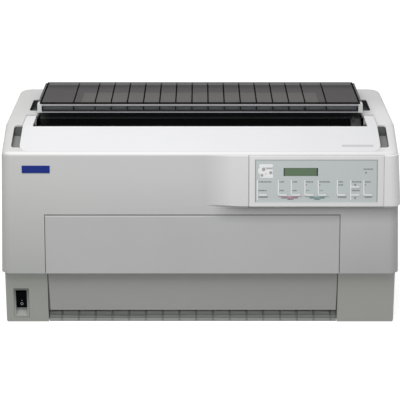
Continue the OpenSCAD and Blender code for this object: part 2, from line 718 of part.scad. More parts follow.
module frame_holes() {
    x0 = frame_x - 1;
    x1 = frame_x + frame_t + 1;
    rod_x(x0, x1, platen_y, platen_z, 6 + run_gap);
    rod_x(x0, x1, shaft_v, shaft_z, 5 + run_gap);
    rod_x(x0, x1, pinion[0], pinion[1], 10);
    for (p = [[235, 160], [case_d - 92, 200], [235, 230]]) rod_x(x0, x1, p[0], p[1], 17);
}

module side_frame() {
    difference() {
        union() {
            frame_plate();
            // Foot flange on the posts of the lower case
            for (v = foot_v) box(frame_x - 14, frame_x + 1, v - 15, v + 15, 77.5, 80);
        }
        frame_holes();
        for (v = foot_v) rod_z(frame_x - 6, v, 70, 90, 2.2);
    }
}

module side_frame_right() color(steel_colour) {
    side_frame();
    // Bracket with the stud of the idler pulley
    box(drive_x - 18, frame_x + 1, 104, 136, 219.5, 222);
    rod_z(drive_x, 120, 221, 238.5, 3);
    // Stud of the idler gear
    rod_x(frame_x + frame_t - 1, frame_x + 11, idler[0], idler[1], 4);
}

module side_frame_left() color(steel_colour) {
    mirror([1, 0, 0]) side_frame();
    // Bracket of the carriage motor
    difference() {
        box(-frame_x - 1, 34 - drive_x, 90, 150, 219.5, 222);
        rod_z(-drive_x, belt_v, 219, 223, 9.3);
    }
}

module cross_rods() color("silver") {
    for (p = cross) rod_x(-frame_x, frame_x, p[0], p[1], 4);
}

module guide_rods() color("silver") {
    rod_x(-frame_x, frame_x, rod_back[0], rod_back[1], rod_r);
    rod_x(-frame_x, frame_x, rod_front[0], rod_front[1], 5);
}

module lower_guide() color(dark_colour) {
    line = [[112, 212], [128, 213], [150, 222], [166, 240], [169.5, 262]];
    along_x(-215, 215) polygon(concat([for (p = line) [at(p[0]), p[1]]],
        [for (i = [len(line) - 1:-1:0]) [at(line[i][0] + 1.5), line[i][1] - 1.6]]));
    for (x = [-frame_x, 213]) box(x, x + frame_x - 213, 151, 156, 215, 223.5);
}

module exit_guide() color("rosybrown") {
    guide_back = window_back - 3;
    along_x(-222, 240) polygon([[at(212), 300], [at(232), 320], [at(250), 330], [at(guide_back), 336],
        [at(guide_back), 334], [at(251), 328], [at(233), 318], [at(214), 299]]);
    box(-frame_x, -220, guide_back - 40, guide_back - 34, 312, 332.9);
    box(238, frame_x, guide_back - 40, guide_back - 34, 312, 332.9);
    for (x = [-200:40:220]) along_x(x, x + 2) polygon([[at(252), 329], [at(guide_back - 2), 335], [at(guide_back - 2), 340],
        [at(258), 335]]);
}

module main_board() color("darkgreen") {
    back = base_back - 37;
    box(-90, 280, 170, back, 14, 15.6);
    for (x = [-84, 274], v = [176, back - 6]) rod_z(x, v, 5.5, 14.1, 3);
    for (p = [[-60, 190], [0, 195], [70, 190], [150, 200]]) box(p[0], p[0] + 38, p[1], p[1] + 38, 15.6, 19);
    for (x = [-70, 10, 90]) box(x, x + 60, 270, 278, 15.6, 26);
    for (x = [230, 250], v = [200, 230]) rod_z(x, v, 15.6, 40, 8);
}

module power_supply() color("silver") {
    back = base_back - 47;
    left = inlet_x;
    difference() {
        box(left, left + 180, 170, back, 8, 72);
        box(left + 1.5, left + 178.5, 171.5, back - 1.5, 9.5, 73);
    }
    for (x = [left + 30, left + 110, left + 150]) rod_z(x, 215, 9, 50, 12);
    box(left + 40, left + 100, back - 80, back - 20, 9, 48);
    for (x = [left + 6, left + 174], v = [176, back - 6]) rod_z(x, v, 5.5, 8.1, 4);
}

fan_x = base_w / 2 - 146.5;
module fan_frame() color("black") {
    v0 = base_back - 31;
    v1 = base_back - 3;
    difference() {
        union() {
            difference() {
                box(fan_x - 40, fan_x + 40, v0, v1, 12, 92);
                rod_y(fan_x, v0 - 1, v1 + 1, 52, 38);
            }
            rod_y(fan_x, v1 - 6, v1, 52, 14);
            for (a = [45:90:315]) translate([fan_x, at(v1 - 6), 52]) rotate([0, a, 0])
                translate([12, 0, -2.5]) cube([28, 5, 5]);
            rod_y(fan_x, v0 + 8, v1, 52, 2);
        }
        for (x = [fan_x - 34, fan_x + 34], z = [18, 86]) rod_y(x, v0 - 1, v1 + 1, z, 2.1);
    }
}

module fan_rotor() color("black") {
    v0 = base_back - 29;
    difference() {
        union() {
            rod_y(fan_x, v0, v0 + 18, 52, 16);
            for (i = [0:6]) translate([fan_x, at(v0 + 9), 52]) rotate([0, i * 360 / 7, 0])
                rotate([32, 0, 0]) translate([14, -1, -8]) cube([21.5, 2, 16]);
        }
        rod_y(fan_x, v0 + 4, v0 + 19, 52, 2 + run_gap);
    }
}

inlet_x = 56.5 - base_w / 2;
module power_inlet() color("black") {
    difference() {
        union() {
            box(inlet_x - 13.6, inlet_x + 13.6, base_back - 22, base_back + 1, 29.4, 50.6);
            box(inlet_x - 18, inlet_x + 18, base_back - wall - 2.5, base_back - wall, 26, 54);
        }
        box(inlet_x - 11.5, inlet_x + 11.5, base_back - 16, base_back + 2, 31.5, 48.5);
    }
    for (x = [inlet_x - 7:6:inlet_x + 5]) box(x, x + 2, base_back - 17, base_back - 4, 38, 42);
}

module interface_ports() color("silver") {
    difference() {
        union() {
            box(-185.6, -54.4, base_back - 18, base_back - 1, 24.4, 45.6);
            box(-190, -50, base_back - wall - 2, base_back - wall, 20, 50);
        }
        box(-182, -122, base_back - 10, base_back + 1, 28, 42);
        box(-116, -76, base_back - 10, base_back + 1, 29, 41);
        box(-70, -57, base_back - 12, base_back + 1, 29, 41);
    }
    box(-176, -128, base_back - 12, base_back - 3, 32.5, 37.5);
    box(-112, -80, base_back - 12, base_back - 4, 33, 37);
}

/* Carriage, ribbon and belt */

home_x = -175;
belt_v = 120;
belt_z = 225;
belt_h = 7;

module carriage() color(dark_colour) {
    difference() {
        union() {
            box(home_x - 45, home_x + 45, 80, 161, 258, 262);
            box(home_x - 40, home_x + 40, 141, 159, 241, 259);
            box(home_x - 12, home_x + 12, 84, 88.6, 244, 259);
            box(home_x - 12, home_x + 12, 95.6, 100, 244, 259);
            box(home_x - 10, home_x + 10, 100, 110, 233, 259);
        }
        rod_x(home_x - 46, home_x + 46, rod_back[0], rod_back[1], rod_r + run_gap);
        rod_x(home_x - 46, home_x + 46, rod_front[0], rod_front[1], 5.4);
    }
}

module print_head() color("black") {
    difference() {
        union() {
            box(home_x - 24, home_x + 24, 112, 150, 262, 298);
            along_x(home_x - 9, home_x + 9) polygon([[at(149), 272], [at(170.2), 281], [at(170.2), 289],
                [at(149), 296]]);
        }
        for (x = [-20:6:16]) box(home_x + x, home_x + x + 3, 118, 140, 284, 299);
    }
}

cart_half = frame_x - 21;
module ribbon_cartridge() color("black") {
    difference() {
        union() {
            plan_prism(round_rect(-cart_half, cart_half, 62, 106, 10), 272, 294);
            for (side = [-1, 1]) mirror([side < 0 ? 1 : 0, 0, 0]) {
                plan_prism(round_rect(cart_half - 23, cart_half, 95, 172, 6), 274, 292);
                box(cart_half - 1, frame_x, 80, 95, 272, 276);
            }
        }
        plan_prism(round_rect(3 - cart_half, cart_half - 3, 65, 103, 8), 274.5, 292);
    }
    rod_z(45 - cart_half, 84, 293, 300, 9);
}

module ribbon() color("black") {
    box(23 - cart_half, cart_half - 23, 171.1, 171.4, 277, 290);
}

module drive_belt() color("black") {
    r = pulley_r + 0.3;
    difference() {
        union() {
            box(-drive_x, drive_x, belt_v - r - 1.2, belt_v + r + 1.2, belt_z, belt_z + belt_h);
            for (x = [-drive_x, drive_x]) rod_z(x, belt_v, belt_z, belt_z + belt_h, r + 1.2);
        }
        box(-drive_x, drive_x, belt_v - r, belt_v + r, belt_z - 1, belt_z + belt_h + 1);
        for (x = [-drive_x, drive_x]) rod_z(x, belt_v, belt_z - 1, belt_z + belt_h + 1, r);
    }
}

module carriage_motor() color(dark_colour) {
    difference() {
        union() {
            rod_z(-drive_x, belt_v, 182, 219.5, 28);
            rod_z(-drive_x, belt_v, 219, 222.6, 9);
        }
        rod_z(-drive_x, belt_v, 205, 230, 2.5 + run_gap);
    }
}

module motor_pulley() color("silver") {
    rod_z(-drive_x, belt_v, 223.2, 236, pulley_r - 2);
    rod_z(-drive_x, belt_v, belt_z + 0.5, belt_z + belt_h - 0.5, pulley_r);
    rod_z(-drive_x, belt_v, 207, 224, 2.5);
}

module idler_pulley() color("silver") {
    difference() {
        union() {
            rod_z(drive_x, belt_v, 223.2, 236, pulley_r - 2);
            rod_z(drive_x, belt_v, belt_z + 0.5, belt_z + belt_h - 0.5, pulley_r);
        }
        rod_z(drive_x, belt_v, 222, 240, 3 + run_gap);
    }
}

/* Paper feed */

gear_module = 1;
function gear_points(n, shift) = [for (i = [0:n - 1]) let (a = 360 / n) for (k = [[-0.25, -1.15],
    [-0.20, 0], [-0.1, 0.8], [0.1, 0.8], [0.20, 0], [0.25, -1.15]])
    let (r = n / 2 * gear_module + k[1], t = (i + k[0] + shift) * a) r * [cos(t), sin(t)]];

module gear(p, n, shift, bore, x0 = frame_x + frame_t + 0.8, w = 6) {
    translate([x0, at(p[0]), p[1]]) rotate([90, 0, 90]) difference() {
        linear_extrude(w) polygon(gear_points(n, shift));
        translate([0, 0, -1]) cylinder(r = bore, h = w + 2);
    }
}

// Tooth number that a gear shows in the direction of another one
function facing(p, q, n) = atan2(q[1] - p[1], q[0] - p[0]) / 360 * n;

module platen() color("black") {
    rod_x(14 - frame_x, frame_x - 14, platen_y, platen_z, platen_r);
    rod_x(-frame_x - 6, frame_x + 12, platen_y, platen_z, 6);
}

module platen_gear() color(white_colour) {
    p = [platen_y, platen_z];
    gear(p, 60, facing(p, pinion, 60), 6.02);
}

module feed_pinion() color(white_colour) {
    gear(pinion, 16, facing(pinion, [platen_y, platen_z], 16) + 0.5, 2.5);
    rod_x(frame_x - 20, frame_x + 10, pinion[0], pinion[1], 3);
}

module idler_gear() color(white_colour) {
    lead = facing(pinion, idler, 16) - facing(pinion, [platen_y, platen_z], 16) - 0.5;
    gear(idler, 82, facing(idler, pinion, 82) + 0.5 + lead, 4 + run_gap);
}

module tractor_shaft() color("silver") {
    p = [shaft_v, shaft_z];
    lead = facing(pinion, idler, 16) - facing(pinion, [platen_y, platen_z], 16) - 0.5;
    turn = facing(idler, p, 82) - facing(idler, pinion, 82) - 0.5 - lead;
    box(-frame_x + 1, frame_x - 1, shaft_v - 3.5, shaft_v + 3.5, shaft_z - 3.5, shaft_z + 3.5);
    rod_x(-frame_x - 6, -frame_x + 4, shaft_v, shaft_z, 5);
    rod_x(frame_x - 4, frame_x + 12, shaft_v, shaft_z, 5);
    gear(p, 44, facing(p, idler, 44) + 0.5 + turn, 4.9);
}

module feed_motor() color(dark_colour) {
    difference() {
        rod_x(frame_x - 60, frame_x, pinion[0], pinion[1], 13.5);
        rod_x(frame_x - 24, frame_x + 1, pinion[0], pinion[1], 3 + run_gap);
    }
}

module tractor(x, out) {
    difference() {
        union() {
            along_x(x - 9, x + 9) polygon(concat(arc_points([at(100), 192], 13, 0, 180),
                arc_points([at(100), 140], 13, 180, 360)));
            // Pins that carry the paper
            for (z = [142:12.7:192]) rod_y(x + out * 2, 83.4, 90, z, 1.9);
            // Ears of the gate
            for (z = [142, 184]) {
                box(min(x + out * 8, x + out * 12.5), max(x + out * 8, x + out * 12.5), 83, 89, z, z + 6);
                rod_z(x + out * 12.5, 86, z, z + 6, 3.1);
            }
        }
        rod_x(x - 10, x + 10, shaft_v, shaft_z, 6);
        rod_x(x - 10, x + 10, 100, 140, 4 + run_gap);
        rod_z(x + out * 12.5, 86, 140, 200, 1.6 + run_gap);
        rod_x(x - out * 9 - 3, x - out * 9 + 3, 106, 190, 2.05);
    }
}

module tractor_gate(x, out) {
    difference() {
        union() {
            box(min(x - out * 7, x + out * 12.5), max(x - out * 7, x + out * 12.5), 80.6, 82.4, 136, 198);
            rod_z(x + out * 12.5, 86, 148.4, 183.6, 3);
            box(min(x + out * 10.5, x + out * 12.5), max(x + out * 10.5, x + out * 12.5), 81, 86,
                148.4, 183.6);
            rod_z(x + out * 12.5, 86, 141, 191, 1.6);
        }
        box(x + out * 2 - 3, x + out * 2 + 3, 80, 83, 139, 196);
    }
}

module tractor_lock(x, out) {
    face_x = x - out * 9;
    along_x(min(face_x - out * 0.4, face_x - out * 3), max(face_x - out * 0.4, face_x - out * 3))
        polygon([[at(102), 186], [at(110), 186], [at(112), 194], [at(96), 208], [at(93), 204]]);
    rod_x(min(face_x + out * 2.4, face_x - out * 2), max(face_x + out * 2.4, face_x - out * 2),
        106, 190, 2);
}

module tractor_left() color("royalblue") tractor(-150, -1);
module tractor_right() color("royalblue") tractor(150, 1);
module tractor_gate_left() color("royalblue") tractor_gate(-150, -1);
module tractor_gate_right() color("royalblue") tractor_gate(150, 1);
module tractor_lock_left() color("gold") tractor_lock(-150, -1);
module tractor_lock_right() color("gold") tractor_lock(150, 1);

base_tray();
upper_case();
panel_bezel();
panel_overlay();
display_window();
panel_board();
nameplate();
entry_guide();
switch_bezel();
side_frame_left();
side_frame_right();
cross_rods();
guide_rods();
carriage_motor();
feed_motor();
lower_guide();
exit_guide();
drive_belt();
main_board();
power_supply();
fan_frame();
power_inlet();
interface_ports();
feet();
screws();
ribbon_cartridge();
ribbon();
hinge_brackets();
top_cover();
tension_frame();
smoked_window();
tension_roller();
front_cover();
rear_cover();
power_rocker();
key(0);  // key_1
key(1);  // key_2
key(2);  // key_3
key(3);  // key_4
key(4);  // key_5
key(5);  // key_6
key(6);  // key_7
key(7);  // key_8
key(8);  // key_9
carriage();
print_head();
motor_pulley();
idler_pulley();
platen();
platen_gear();
feed_pinion();
idler_gear();
tractor_shaft();
tractor_left();
tractor_right();
tractor_gate_left();
tractor_gate_right();
tractor_lock_left();
tractor_lock_right();
fan_rotor();
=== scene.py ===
import json
import math
import bmesh
import bpy
from mathutils import Matrix, Vector


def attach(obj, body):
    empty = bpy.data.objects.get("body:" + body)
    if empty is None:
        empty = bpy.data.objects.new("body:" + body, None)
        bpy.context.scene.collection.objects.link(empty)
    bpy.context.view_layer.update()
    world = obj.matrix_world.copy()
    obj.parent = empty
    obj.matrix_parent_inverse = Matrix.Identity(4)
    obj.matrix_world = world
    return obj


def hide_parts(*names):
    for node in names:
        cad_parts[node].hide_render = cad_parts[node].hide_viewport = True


print("loading the printer's frame")
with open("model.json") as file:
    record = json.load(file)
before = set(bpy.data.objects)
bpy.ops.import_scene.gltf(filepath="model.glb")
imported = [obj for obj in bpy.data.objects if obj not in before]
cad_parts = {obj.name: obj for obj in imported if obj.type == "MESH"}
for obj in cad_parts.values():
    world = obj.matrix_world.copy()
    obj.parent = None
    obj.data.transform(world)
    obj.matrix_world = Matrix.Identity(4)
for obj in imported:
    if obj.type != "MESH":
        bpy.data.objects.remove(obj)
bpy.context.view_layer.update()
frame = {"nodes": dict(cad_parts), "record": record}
nodes = frame["nodes"]
bodyOf = {}
for bodyName, members in frame["record"]["behaviour"]["bodies"].items():
    for member in members:
        bodyOf[member] = bodyName
halfDepth = 191  # all lengths in the dictionaries are millimetres


# a distance behind the front, as a place on the Y axis
def at(behind):
    return behind - halfDepth


# a shader or geometry socket that takes part in sums
class Value:
    def __init__(self, graph, socket):
        self.graph = graph
        self.socket = socket

    def calc(self, operation, first, second, clamp=False):
        return self.graph.make("ShaderNodeMath", {"operation": operation, "use_clamp": clamp},
                               {0: first, 1: second})

    def __add__(self, other):
        return self.calc("ADD", self, other)

    def __sub__(self, other):
        return self.calc("SUBTRACT", self, other)

    def __rsub__(self, other):
        return self.calc("SUBTRACT", other, self)

    def __mul__(self, other):
        return self.calc("MULTIPLY", self, other)

    def __truediv__(self, other):
        return self.calc("DIVIDE", self, other)

    def __gt__(self, other):
        return self.calc("GREATER_THAN", self, other)

    def __lt__(self, other):
        return self.calc("LESS_THAN", self, other)

    def most(self, other):
        return self.calc("MAXIMUM", self, other)

    # distance from zero
    def apart(self):
        return self.most(self * -1)

    # 0 below low, 1 above high, straight between
    def between(self, low, high):
        return self.calc("MULTIPLY", self - low, 1 / (high - low), True)

    # 1 from low to high, 0 outside; an end that is None is open
    def inside(self, low, high):
        if low is None:
            return self < high
        if high is None:
            return self > low
        return (self > low) * (self < high)

    # saw-tooth from 0 to 1 with that period
    def repeat(self, period):
        return self.calc("FRACT", self / period, 0)


# a colour socket's value, from a tone or from one grey level
def opaque(tone):
    if isinstance(tone, (int, float)):
        tone = (tone, tone, tone)
    return tone + (1.0,) if isinstance(tone, tuple) else tone


# any node of a tree: its type, its settings, then the values or links of its sockets
class Graph:
    def __init__(self, tree):
        self.tree = tree
        tree.nodes.clear()

    def add(self, kind, settings=None, values=None):
        node = self.tree.nodes.new(kind)
        for key, setting in (settings or {}).items():
            setattr(node, key, setting)
        for key, value in (values or {}).items():
            if isinstance(value, Value):
                self.tree.links.new(value.socket, node.inputs[key])
            else:
                node.inputs[key].default_value = value
        return node

    def out(self, node, key=0):
        return Value(self, node.outputs[key])

    def make(self, kind, settings=None, values=None, key=0):
        return self.out(self.add(kind, settings, values), key)

    def noise(self, place, scale, detail=2.0):
        return self.make("ShaderNodeTexNoise", {}, {"Vector": place, "Scale": scale, "Detail": detail})

    def mix(self, amount, first, second):
        return self.make("ShaderNodeMix", {"data_type": "RGBA"},
                         {"Factor": amount, 6: opaque(first), 7: opaque(second)}, 2)


# a place on the printer in millimetres: x across, v behind the front, z up, side from the middle
class Spot:
    def __init__(self, graph, place):
        measured = graph.make("ShaderNodeMapping", {}, {
            "Vector": place, "Location": (0, halfDepth, 0), "Scale": (1000, 1000, 1000)})
        split = graph.add("ShaderNodeSeparateXYZ", {}, {0: measured})
        self.place = place
        self.x, self.v, self.z = [graph.out(split, axis) for axis in range(3)]

    @property
    def side(self):
        return self.x.apart()

    # 1 in the box of the ranges, 0 outside
    def inBox(self, **ranges):
        mask = None
        for axis, ends in ranges.items():
            part = getattr(self, axis).inside(*ends)
            mask = mask * part if mask else part
        return mask


def shade(tone, by):
    return tuple(min(1.0, part * by) for part in tone)


print("mixing the finishes")
finishes = {}
grainRule = {"mottle": 7, "broad": (0.3, 0.7), "fine": (0.35, 0.65), "fineShare": 0.5, "fineDark": 1.5,
             "smear": 55, "depth": 0.06}


# slow change of colour, fine relief and uneven gloss; paint(graph, spot, colour) works on the colour
def finish(slot, tone, spread=0.03, rough=0.5, uneven=0.14, grain=1500, relief=0.25,
           stretch=(1, 1, 1), metal=0.0, coat=0.0, alpha=1.0, level=0.5, paint=None):
    material = bpy.data.materials.new(slot)
    material.use_nodes = True
    graph = Graph(material.node_tree)
    place = graph.make("ShaderNodeTexCoord", key="Object")
    drawn = graph.make("ShaderNodeMapping", {}, {"Vector": place, "Scale": stretch})
    broad = graph.noise(drawn, grainRule["mottle"], 3)
    fine = graph.noise(drawn, grain, 3)
    smear = graph.noise(place, grainRule["smear"], 2)
    colour = graph.mix(broad.between(*grainRule["broad"]), shade(tone, 1 - spread), shade(tone, 1 + spread))
    colour = graph.mix(fine.between(*grainRule["fine"]) * grainRule["fineShare"], colour,
                       shade(tone, 1 - spread * grainRule["fineDark"]))
    if paint:
        colour = paint(graph, Spot(graph, place), colour)
    bump = graph.make("ShaderNodeBump", {}, {
        "Strength": relief, "Distance": grainRule["depth"] / 1000, "Height": fine})
    surface = graph.add("ShaderNodeBsdfPrincipled", {}, {
        "Base Color": colour, "Roughness": smear * uneven + (rough - uneven / 2), "Metallic": metal,
        "Coat Weight": coat, "Alpha": alpha, "Normal": bump, "Specular IOR Level": level})
    graph.add("ShaderNodeOutputMaterial", {}, {"Surface": graph.out(surface)})
    finishes[slot] = material


# the front cover is darker below its step, with painted shade along its edges that widens at its lower ends,
# painted shadow under the control panel and a painted highlight below its top edge
coverPaint = {
    "step": (96.5, 97.5), "lowTone": (0.425, 0.425, 0.42),
    "shadeX": (20, 50), "shadeZ": (188, 200), "shade": 0.28, "shadeTone": 0.2,
    "lineZ": (199.9, 201.7), "lineFade": (0, 40), "line": 0.5, "lineTone": 0.9,
    "upper": 98, "left": -272.4, "right": 245.4, "top": 201.9, "edge": 0.6, "edgeTone": 0.12,
    "lowLeft": -267.07, "leftSlant": 0.0372, "lowRight": 242.94, "rightSlant": 0.017,
    "lowEdge": 0.9, "lowEdgeTone": 0.03,
}


def coverTones(graph, spot, colour):
    paint = coverPaint
    toned = graph.mix(spot.z.between(*paint["step"]), paint["lowTone"], colour)
    # painted shadow under the control panel
    dim = spot.x.between(*paint["shadeX"]) * spot.z.between(*paint["shadeZ"]) * paint["shade"]
    shaded = graph.mix(dim, toned, paint["shadeTone"])
    # painted highlight just below the top edge, fading out to the right
    line = spot.z.inside(*paint["lineZ"]) * (1 - spot.x.between(*paint["lineFade"]))
    lit = graph.mix(line * paint["line"], shaded, paint["lineTone"])
    upper = spot.z > paint["upper"]
    # painted shade in the seams along the upper part's sides and top
    edge = upper * (spot.x < paint["left"]).most(spot.x > paint["right"]).most(spot.z > paint["top"])
    edged = graph.mix(edge * paint["edge"], lit, paint["edgeTone"])
    # painted shade in the gaps at the lower ends, widening downwards
    leftEnd = spot.x + spot.z * paint["leftSlant"] < paint["lowLeft"]
    rightEnd = spot.x - spot.z * paint["rightSlant"] > paint["lowRight"]
    ends = (1 - upper) * leftEnd.most(rightEnd)
    return graph.mix(ends * paint["lowEdge"], edged, paint["lowEdgeTone"])


# the bezel's outer edges carry painted shade at the left, the right and the foot, the left one most
bezelPaint = {"left": 86.2, "leftShade": 0.75, "right": 320.3, "rightShade": 0.3, "foot": 218,
              "footShade": 0.45, "tone": 0.3}


def bezelTones(graph, spot, colour):
    paint = bezelPaint
    left = (spot.x < paint["left"]) * paint["leftShade"]
    right = (spot.x > paint["right"]) * paint["rightShade"]
    foot = (spot.z < paint["foot"]) * paint["footShade"]
    return graph.mix(left.most(right).most(foot), colour, paint["tone"])


# the lower case is a little greener to the left and warmer to the right, with painted light along its top where
# the step above shades it
lowerPaint = {"ends": (-300, 280), "left": (0.44, 0.457, 0.412), "right": (0.5, 0.49, 0.464), "share": 0.65,
              "top": (70, 98), "topShare": 0.2, "topTone": 0.95}


def lowerTones(graph, spot, colour):
    paint = lowerPaint
    ends = graph.mix(spot.x.between(*paint["ends"]), paint["left"], paint["right"])
    # painted light along the top, under the step's shadow
    top = spot.z.between(*paint["top"]) * paint["topShare"]
    return graph.mix(top, graph.mix(paint["share"], colour, ends), paint["topTone"])


# the upper case is tinted to the left, painted lighter towards the top, with painted highlights on its swell,
# front corner and right end, painted shade under the panel, and painted grey shade in its finger wells and dark
# shade in its grip wells
casePaint = {
    "front": (25, 60), "tint": (-330, -150), "tintShare": 0.3, "tintTone": (0.5, 0.53, 0.46),
    "paintedLightZ": (100, 270), "paintedLightShare": 0.37, "paintedLightTone": 0.9, "paleTone": 0.95, "shadeTone": 0.2,
    "swell": (216.5, 309), "swellLeft": (10, 55), "leftShare": 0.43,
    "swellRight": (300, 310), "rightShare": 0.36,
    "corner": {"z": (310, 313.9), "v": (None, 31.5)}, "cornerShare": 0.6,
    "end": (310, 325), "endBack": (211, 291), "endShare": 0.45,
    "underX": (20, 50), "underZ": (188, 206), "underShare": 0.28,
    "lip": {"z": (215.5, 221.3), "x": (30, None), "v": (None, 7)}, "lipShare": 0.5,
    "deckFront": 33, "deckRim": 314, "deckSlope": 0.3418, "deckClear": 2.5,
    "finger": {"side": (316.5, 333.5), "v": (40, 112.5)}, "fingerTone": (0.28, 0.288, 0.28),
    "floor": 322, "floorTone": (0.08, 0.085, 0.083), "back": 109.4, "backTone": (0.15, 0.155, 0.152),
    "grip": {"side": (298.4, 316.4), "v": (209.5, 293.5), "z": (320, 339.5)},
    "gripTone": (0.045, 0.05, 0.047),
}


def caseTones(graph, spot, colour):
    paint = casePaint
    x, v, z = spot.x, spot.v, spot.z
    front = 1 - v.between(*paint["front"])
    tinted = graph.mix((1 - x.between(*paint["tint"])) * paint["tintShare"], colour, paint["tintTone"])
    # painted light, growing towards the top
    paintedTopLight = graph.mix(z.between(*paint["paintedLightZ"]) * paint["paintedLightShare"], tinted, paint["paintedLightTone"])
    # painted highlights on the swell, the front corner and the right end
    rise = x.between(*paint["swellLeft"]) * paint["leftShare"]
    rise = rise + x.between(*paint["swellRight"]) * paint["rightShare"]
    swell = z.inside(*paint["swell"]) * front * rise
    foot = paint["swell"][0]
    corner = spot.inBox(**paint["corner"]) * paint["cornerShare"]
    end = x.between(*paint["end"]) * (z > foot) * (1 - v.between(*paint["endBack"])) * paint["endShare"]
    pale = graph.mix(swell.most(corner).most(end), paintedTopLight, paint["paleTone"])
    # painted shadow under the panel and on the swell's underside
    under = x.between(*paint["underX"]) * z.between(*paint["underZ"]) * (z < foot) * front
    lip = spot.inBox(**paint["lip"]) * paint["lipShare"]
    shaded = graph.mix(lip.most(under * paint["underShare"]), pale, paint["shadeTone"])
    # painted shade in the finger wells: grey on their walls, darker on their floors and backs
    deck = (v - paint["deckFront"]) * paint["deckSlope"] + paint["deckRim"]
    finger = spot.inBox(**paint["finger"]) * (z < deck - paint["deckClear"])
    paintedLightOrShade = graph.mix(finger, shaded, paint["fingerTone"])
    wellFloorShade = graph.mix(finger * (z > paint["floor"]), paintedLightOrShade, paint["floorTone"])
    wellBackShade = graph.mix(finger * (v > paint["back"]), wellFloorShade, paint["backTone"])
    # painted shade in the grip wells
    return graph.mix(spot.inBox(**paint["grip"]), wellBackShade, paint["gripTone"])


# the front guide is darker towards its bottom and darkest on its lip, with a fold line above its lip and a line
# beside each rib
entryPaint = {
    "darkerBelow": (8.5, 11.5), "darkerBelowTone": (0.4, 0.412, 0.4), "lip": 4.5, "lipTone": (0.31, 0.32, 0.312),
    "fold": (5.2, 6.6), "lineTone": (0.16, 0.165, 0.16),
    "ribFrom": -8.909, "ribEvery": 30.21, "ribLine": 0.14, "ribShare": 0.55,
}


def entryTones(graph, spot, colour):
    paint = entryPaint
    darkerBelow = graph.mix(spot.z.between(*paint["darkerBelow"]), paint["darkerBelowTone"], colour)
    lip = graph.mix(spot.z < paint["lip"], darkerBelow, paint["lipTone"])
    ribs = (spot.x - paint["ribFrom"]).repeat(paint["ribEvery"]) < paint["ribLine"]
    return graph.mix(spot.z.inside(*paint["fold"]).most(ribs * paint["ribShare"]), lip, paint["lineTone"])


# the sides of the switch's recess are shaded at the top and light at the bottom
recessPaint = {"height": (20, 62), "low": (0.42, 0.43, 0.41), "high": (0.13, 0.135, 0.13)}


def recessTones(graph, spot, colour):
    return graph.mix(spot.z.between(*recessPaint["height"]), recessPaint["low"], recessPaint["high"])


# the output cover's front ends are pale; its rails are painted dark as shade, except along one edge where they
# catch the light
railPaint = {"dark": (347.6, 358.1), "darkTone": (0.03, 0.03, 0.032), "front": 197,
             "cap": {"side": (289.8, None), "v": (None, 197)}, "capTone": (0.74, 0.75, 0.74)}


def railTones(graph, spot, colour):
    paint = railPaint
    dark = spot.z.inside(*paint["dark"]).most(spot.v > paint["front"])
    rails = graph.mix(dark, colour, paint["darkTone"])
    return graph.mix(spot.inBox(**paint["cap"]), rails, paint["capTone"])


# the paper guide is dark where it curves up from the platen, with one painted highlight line along it
guidePaint = {"rise": (309.5, 321.5), "lowTone": 0.001, "highTone": 0.009,
              "line": (319.8, 322.1), "lineTone": (0.09, 0.098, 0.1),
              "bend": 322.2, "bendTone": (0.026, 0.032, 0.034), "flat": (249, 252)}


def guideTones(graph, spot, colour):
    paint = guidePaint
    low = graph.mix(spot.z.between(*paint["rise"]), paint["lowTone"], paint["highTone"])
    # painted highlight line along the guide
    paintedLightOrShade = graph.mix(spot.z.inside(*paint["line"]), low, paint["lineTone"])
    front = graph.mix(spot.z > paint["bend"], paintedLightOrShade, paint["bendTone"])
    return graph.mix(spot.v.between(*paint["flat"]), front, colour)


# smoked plastic is darker over its ribs and along its edges, with painted light where the guide lies below, as
# if the guide were lit through the sheet
smokePaint = {
    "ribEvery": 29.6, "ribHalf": 1.3, "ribsTo": 200, "endRib": 231.5, "ribTone": 0.006,
    "end": 290, "front": 187, "back": 340,
    "guide": {"side": (None, 217), "v": (None, 259)}, "guideTone": (0.2, 0.193, 0.188),
    "rear": (285, 305), "rearShare": 0.25, "rearTone": 0.02,
}


def smokeTones(graph, spot, colour):
    paint = smokePaint
    side = spot.side
    off = (side.repeat(paint["ribEvery"]) - 0.5).apart() * paint["ribEvery"]
    near = (off < paint["ribHalf"]) * (side < paint["ribsTo"])
    endRib = (side - paint["endRib"]).apart() < paint["ribHalf"]
    edge = (side > paint["end"]).most(spot.v < paint["front"]).most(spot.v > paint["back"])
    # painted light: the guide below, as if lit through the sheet
    paler = graph.mix(spot.inBox(**paint["guide"]), colour, paint["guideTone"])
    rear = graph.mix(spot.v.between(*paint["rear"]) * paint["rearShare"], paler, paint["rearTone"])
    return graph.mix(near.most(endRib).most(edge), rear, paint["ribTone"])


# the display's cells, with dark ends, the left one painted shadow of the window's frame, and a painted shadow
# along its top
displayPaint = {
    "cellX": 2.9, "cellZ": 5.2, "fromX": 149, "fromZ": 273.5, "gapX": 0.14, "gapZ": 0.16,
    "cellShare": 0.35, "cellTone": (0.1, 0.155, 0.09),
    "left": (147.2, 148.2), "right": (203.4, 204.2), "endTone": (0.018, 0.03, 0.024),
    "top": (286.8, 288), "topShare": 0.5, "topTone": (0.03, 0.05, 0.035),
}


def displayTones(graph, spot, colour):
    paint = displayPaint
    across = (spot.x - paint["fromX"]).repeat(paint["cellX"]) > paint["gapX"]
    upward = (spot.z - paint["fromZ"]).repeat(paint["cellZ"]) > paint["gapZ"]
    # painted shadow of the frame along the top
    shaded = graph.mix(spot.z.between(*paint["top"]) * paint["topShare"], colour, paint["topTone"])
    lit = graph.mix(across * upward * paint["cellShare"], shaded, paint["cellTone"])
    # dark ends, the left one painted shadow of the frame
    shown = spot.x.between(*paint["left"]) * (1 - spot.x.between(*paint["right"]))
    return graph.mix(shown, paint["endTone"], lit)


